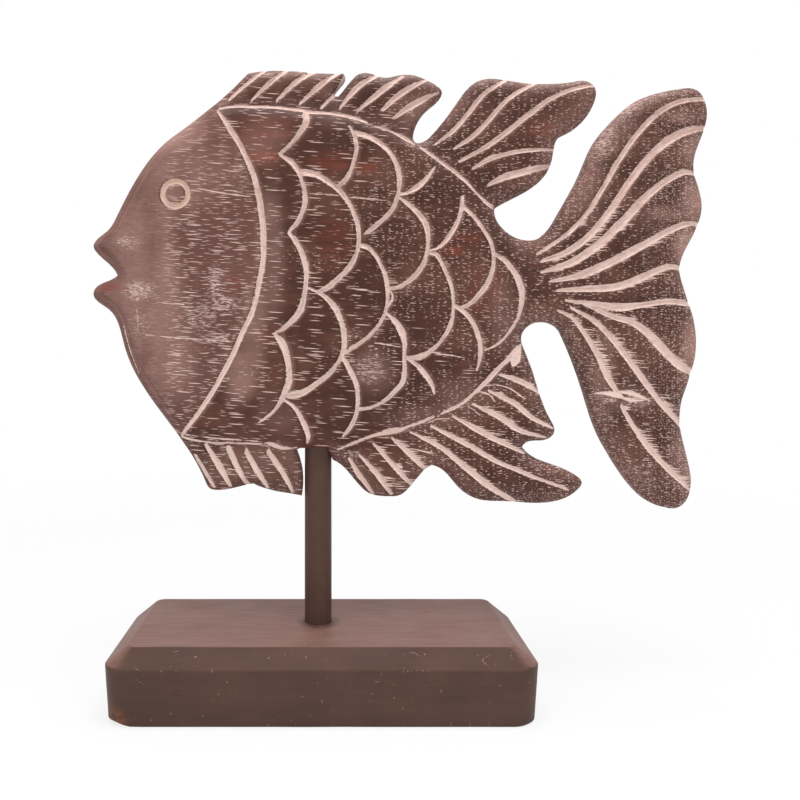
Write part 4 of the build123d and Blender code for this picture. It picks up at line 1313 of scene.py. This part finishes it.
# %% The block, worn at its front corners
WEAR_HEIGHT = 9          # above this the corners are whole
WEAR_DEPTH = 0.8         # the wear's reach from front to back, as a share of its reach along
WEAR_CURVE = 1.3
RUB, RUB_AT_ENDS = 0.12, 0.6
RUB_LENGTH, RUB_HEIGHT = 17, 6
# each worn corner: where it is, its reach and how far its foot is lifted
WORN_CORNERS = ((base_low.x, base_low.y, 13.0, 3.6), (base_high.x, base_low.y, 9.0, 1.4))


def worn(x, y, z):
    """A spot of the block after wear: the front corners' feet lifted, and a little unevenness."""
    for corner_x, corner_y, reach, lift in WORN_CORNERS:
        away = np.hypot((x - corner_x) / reach, (y - corner_y) / (reach * WEAR_DEPTH))
        low = max(0.0, 1 - z / WEAR_HEIGHT)
        z += lift * low * max(0.0, 1 - away) ** WEAR_CURVE
    rub = RUB * noise.noise((x / RUB_LENGTH, y / RUB_LENGTH, z / RUB_HEIGHT))
    return x + rub * np.sign(x) * RUB_AT_ENDS, y + rub * np.sign(y), z


corners, facets = [], []
block_length, block_depth, _ = base_high - base_low
for z, end_in, side_in, radius in block_rings():
    ring_points = rounded_rectangle(block_length - 2 * end_in, block_depth - 2 * side_in, radius)
    corners.extend(Vector(worn(x, y, z)) * MM for x, y in ring_points)
ring_size = len(ring_points)
for row in range(len(corners) // ring_size - 1):
    for k in range(ring_size):
        a, b = row * ring_size + k, row * ring_size + (k + 1) % ring_size
        facets.append((a, b, b + ring_size, a + ring_size))
facets.append(tuple(reversed(range(ring_size))))
facets.append(tuple(range(len(corners) - ring_size, len(corners))))
block_mesh = bpy.data.meshes.new("block")
block_mesh.from_pydata(corners, [], facets)
block = bpy.data.objects.new("block", block_mesh)
bpy.context.scene.collection.objects.link(block)
print("worn block of", len(corners), "points")

# %% [markdown]
# Two holes go into the block: one from above for the dowel, and one from below for the screw, with a cone
# for its head. Both are drilled with the same helper as the fish, because a hole modelled by hand would
# break up the rings.

# %% Holes for the dowel and the screw
screw_low, screw_high = (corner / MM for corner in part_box("base_screw"))
SCREW_HEAD, SCREW_SHANK, SCREW_NECK = (screw_high.x - screw_low.x) / 2, 2.0, 2.6
SCREW_ROOM = 0.05
drill(block, [(post_hole, post_low.z), (post_hole, BASE_TOP + OVERSHOOT)])
head_hole, shank_hole = SCREW_HEAD + SCREW_ROOM, SCREW_SHANK + SCREW_ROOM
drill(block, [(head_hole, -OVERSHOOT), (head_hole, screw_low.z), (shank_hole, screw_low.z + SCREW_NECK),
              (shank_hole, post_low.z + OVERSHOOT)])
block.data.shade_smooth()
block.data.set_sharp_from_angle(angle=radians(40))
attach(block, "root")
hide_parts("base")
print("drilled block:", len(block.data.polygons), "faces")

# %% [markdown]
# ## The finish of the stand
# Block and dowel have the same plain stain, without limewash. The grain runs along the block and up the
# dowel. Faces that look up are painted lighter in streaks of the grain: painted light and sheen from the
# lamp overhead. Small chips let pale specks through. One function mixes both finishes, so that they stay
# alike but for the grain and the chips.

# %% Stained wood for the stand
STAND_DARK = from_hex("#4c362e")
STAND_LIGHT = from_hex("#573f36")
PAINTED_TOP_LIGHT = from_hex("#7f5d55")
SPECK = from_hex("#b0908a")


def stand_material(name, grain, chips=()):
    """Plain stained wood whose grain runs along the longest side of the given cell, with pale chips."""
    material, tree, shader = new_material(name)
    place = millimetres(tree)
    long_streaks = cloud(tree, place, grain, 4.0, 0.6)
    smudges = cloud(tree, place, (26, 26, 16), 4.0)
    tone = calc(tree, "ADD", calc(tree, "MULTIPLY", long_streaks, 0.3), calc(tree, "MULTIPLY", smudges, 0.7))
    colour = blend_colour(tree, ramp(tree, tone, 0.34, 0.66), STAND_DARK, STAND_LIGHT)
    facing = tree.nodes.new("ShaderNodeNewGeometry")
    _, _, upward = split(tree, facing.outputs["Normal"])
    wiped = calc(tree, "ADD", long_streaks, cloud(tree, place, (14, 1.8, 1.0), 3.0, 0.7))
    # painted light: faces that look up are made lighter in grain streaks, as if lit from above with a sheen
    painted_top_light = calc(tree, "MULTIPLY", ramp(tree, upward, 0.62, 0.76), ramp(tree, wiped, 0.7, 1.2, 0.55, 1.0))
    colour = blend_colour(tree, painted_top_light, colour, PAINTED_TOP_LIGHT)
    for cell, size, share, strength in chips:
        away, luck, _ = grains(tree, place, cell)
        chance = ramp(tree, luck, 1 - share, 1, 0, strength)
        specks = calc(tree, "MULTIPLY", ramp(tree, away, size, size / 2), chance)
        colour = blend_colour(tree, specks, colour, SPECK)
    feed(tree, shader.inputs["Base Color"], colour)
    feed(tree, shader.inputs["Roughness"], ramp(tree, tone, 0.3, 0.7, 0.45, 0.58))
    shader.inputs["Specular IOR Level"].default_value = 0.2
    feed(tree, shader.inputs["Normal"], bump(tree, long_streaks, 0.3, 0.08))
    return material


BLOCK_GRAIN, DOWEL_GRAIN = (34, 1.2, 1.6), (1.4, 1.4, 40)
# each layer of chips: the cell that may hold one, its size in cells, the share of cells, the strength
BLOCK_CHIPS = (((4.2, 4.2, 3.6), 0.11, 0.7, 0.5), ((2.4, 2.4, 1.8), 0.15, 0.5, 0.3))
block_stain = stand_material("stand_wood_block", BLOCK_GRAIN, BLOCK_CHIPS)
dowel_stain = stand_material("stand_wood_dowel", DOWEL_GRAIN)
for piece, finish in ((block, block_stain), (dowel, dowel_stain)):
    piece.data.materials.clear()
    piece.data.materials.append(finish)
print("stand stained")

# %% [markdown]
# The block has been handled. Its front has fine scratches, hooks and chips, each drawn here as a straight
# stroke from one spot to another. The corner under the fish's mouth is worn down to orange wood. A dark ring
# at the foot of the dowel is partly glue and partly painted shade where the dowel meets the block. These
# marks go between the stain and the shader. Noise can't give a single scratch its place, which is why they
# are drawn.

# %% Marks on the block
# each stroke: along and up at its start, along and up at its end
FRONT_STROKES = [
    (35.8, 29.0, 37.6, 28.8), (37.6, 28.8, 39.3, 28.0), (67.6, 28.1, 65.0, 27.1), (65.0, 27.1, 64.4, 26.2),
    (64.4, 26.2, 65.9, 25.3), (76.2, 29.1, 76.5, 26.8), (32.7, 23.0, 36.0, 23.0), (38.1, 23.4, 42.8, 23.1),
    (21.2, 18.8, 22.9, 18.8), (47.6, 15.6, 47.9, 14.4), (59.2, 1.9, 59.4, 0.2), (66.9, 2.4, 67.3, 0.4),
    (51.6, 2.0, 51.8, 0.4), (-59.6, 29.2, -57.6, 29.4), (-51.0, 27.7, -50.2, 27.5),
    (-43.7, 23.6, -43.4, 22.6), (-74.6, 24.0, -72.4, 23.3), (-73.7, 19.6, -71.0, 17.9),
    (-6.4, 27.7, -6.1, 27.4), (-7.9, 12.9, -7.4, 12.7), (-60.4, 6.0, -60.0, 5.6), (0.2, 11.4, 0.3, 10.2),
    (-37.9, 18.8, -37.3, 18.4), (-41.3, 13.9, -40.9, 13.5),
]
STROKE_HALF = 0.2
WORN_WOOD = from_hex("#744632")
GLUE_AND_SHADE_DARK = from_hex("#38261f")
WORN_SPOT = (base_low.x + 5.0, base_low.y + 1.5, 2.4)
WORN_FADE = (7.5, 2.8)   # how far from that spot the wear starts to show, and where it shows fully
DOWEL_FOOT = (POST_X, -1.0, BASE_TOP)
DOWEL_FOOT_FADE = (11.0, 6.5)
TOP_EDGE = base_low.y + BEVEL_SIDE
FRONT_FADE = (TOP_EDGE + 2, TOP_EDGE + 1)
FAR_AWAY = 100.0


def vector_step(tree, operation, *values):
    node = tree.nodes.new("ShaderNodeVectorMath")
    node.operation = operation
    for socket, value in zip(node.inputs, values):
        feed(tree, socket, value)
    return node


def stroke_distance(tree, spot, stroke):
    """How far a spot of the front is from a straight stroke."""
    start, run = Vector((stroke[0], stroke[1], 0)), Vector((stroke[2] - stroke[0], stroke[3] - stroke[1], 0))
    offset = vector_step(tree, "SUBTRACT", spot, start).outputs[0]
    along = vector_step(tree, "DOT_PRODUCT", offset, run / run.length_squared).outputs["Value"]
    foot = vector_step(tree, "SCALE", run)
    tree.links.new(ramp(tree, along, 0.0, 1.0), foot.inputs["Scale"])
    return vector_step(tree, "DISTANCE", offset, foot.outputs[0]).outputs["Value"]


tree = block_stain.node_tree
shader = tree.nodes["Principled BSDF"]
colour = shader.inputs["Base Color"].links[0].from_socket
place = millimetres(tree)
x, y, z = split(tree, place)
spot = joined(tree, x, z)
nearest = FAR_AWAY
for stroke in FRONT_STROKES:
    nearest = calc(tree, "MINIMUM", nearest, stroke_distance(tree, spot, stroke))
on_front = ramp(tree, y, *FRONT_FADE, 0.0, 0.6)
scratched = calc(tree, "MULTIPLY", ramp(tree, nearest, STROKE_HALF, STROKE_HALF / 2), on_front)
patchy = cloud(tree, place, (3, 3, 1.5), 3.0)
worn_away = vector_step(tree, "DISTANCE", place, WORN_SPOT).outputs["Value"]
worn_wood = calc(tree, "MULTIPLY", ramp(tree, worn_away, *WORN_FADE), ramp(tree, patchy, 0.34, 0.56))
axis_away = vector_step(tree, "DISTANCE", place, DOWEL_FOOT).outputs["Value"]
# glue and painted shade: a dark ring on the top round the dowel's foot, where dowel and block meet
glue_and_shade = ramp(tree, axis_away, *DOWEL_FOOT_FADE, 0.0, 0.7)
glue_and_shade = calc(tree, "MULTIPLY", glue_and_shade, ramp(tree, patchy, 0.25, 0.6, 0.5, 1.0))
colour = blend_colour(tree, glue_and_shade, colour, GLUE_AND_SHADE_DARK)
colour = blend_colour(tree, worn_wood, colour, WORN_WOOD)
colour = blend_colour(tree, scratched, colour, SPECK)
feed(tree, shader.inputs["Base Color"], colour)
print(len(FRONT_STROKES), "strokes on the block")

# %% [markdown]
# ## The screw
# The screw under the block is zinc plated. It stays hidden in use, so its CAD solid is kept as it is and
# only gets a metal finish.

# %% Zinc plate
ZINC_DARK, ZINC_LIGHT = from_hex("#9b9b98"), from_hex("#c4c4bf")
zinc, tree, shader = new_material("zinc_plate")
place = millimetres(tree)
spangle = cloud(tree, place, (0.8, 0.8, 0.8), 3.0)
feed(tree, shader.inputs["Base Color"], blend_colour(tree, spangle, ZINC_DARK, ZINC_LIGHT))
shader.inputs["Metallic"].default_value = 1.0
feed(tree, shader.inputs["Roughness"], ramp(tree, spangle, 0.3, 0.7, 0.28, 0.42))
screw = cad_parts["base_screw"]
for slot in screw.material_slots:
    slot.material = zinc
print("screw plated:", len(screw.material_slots), "slot")
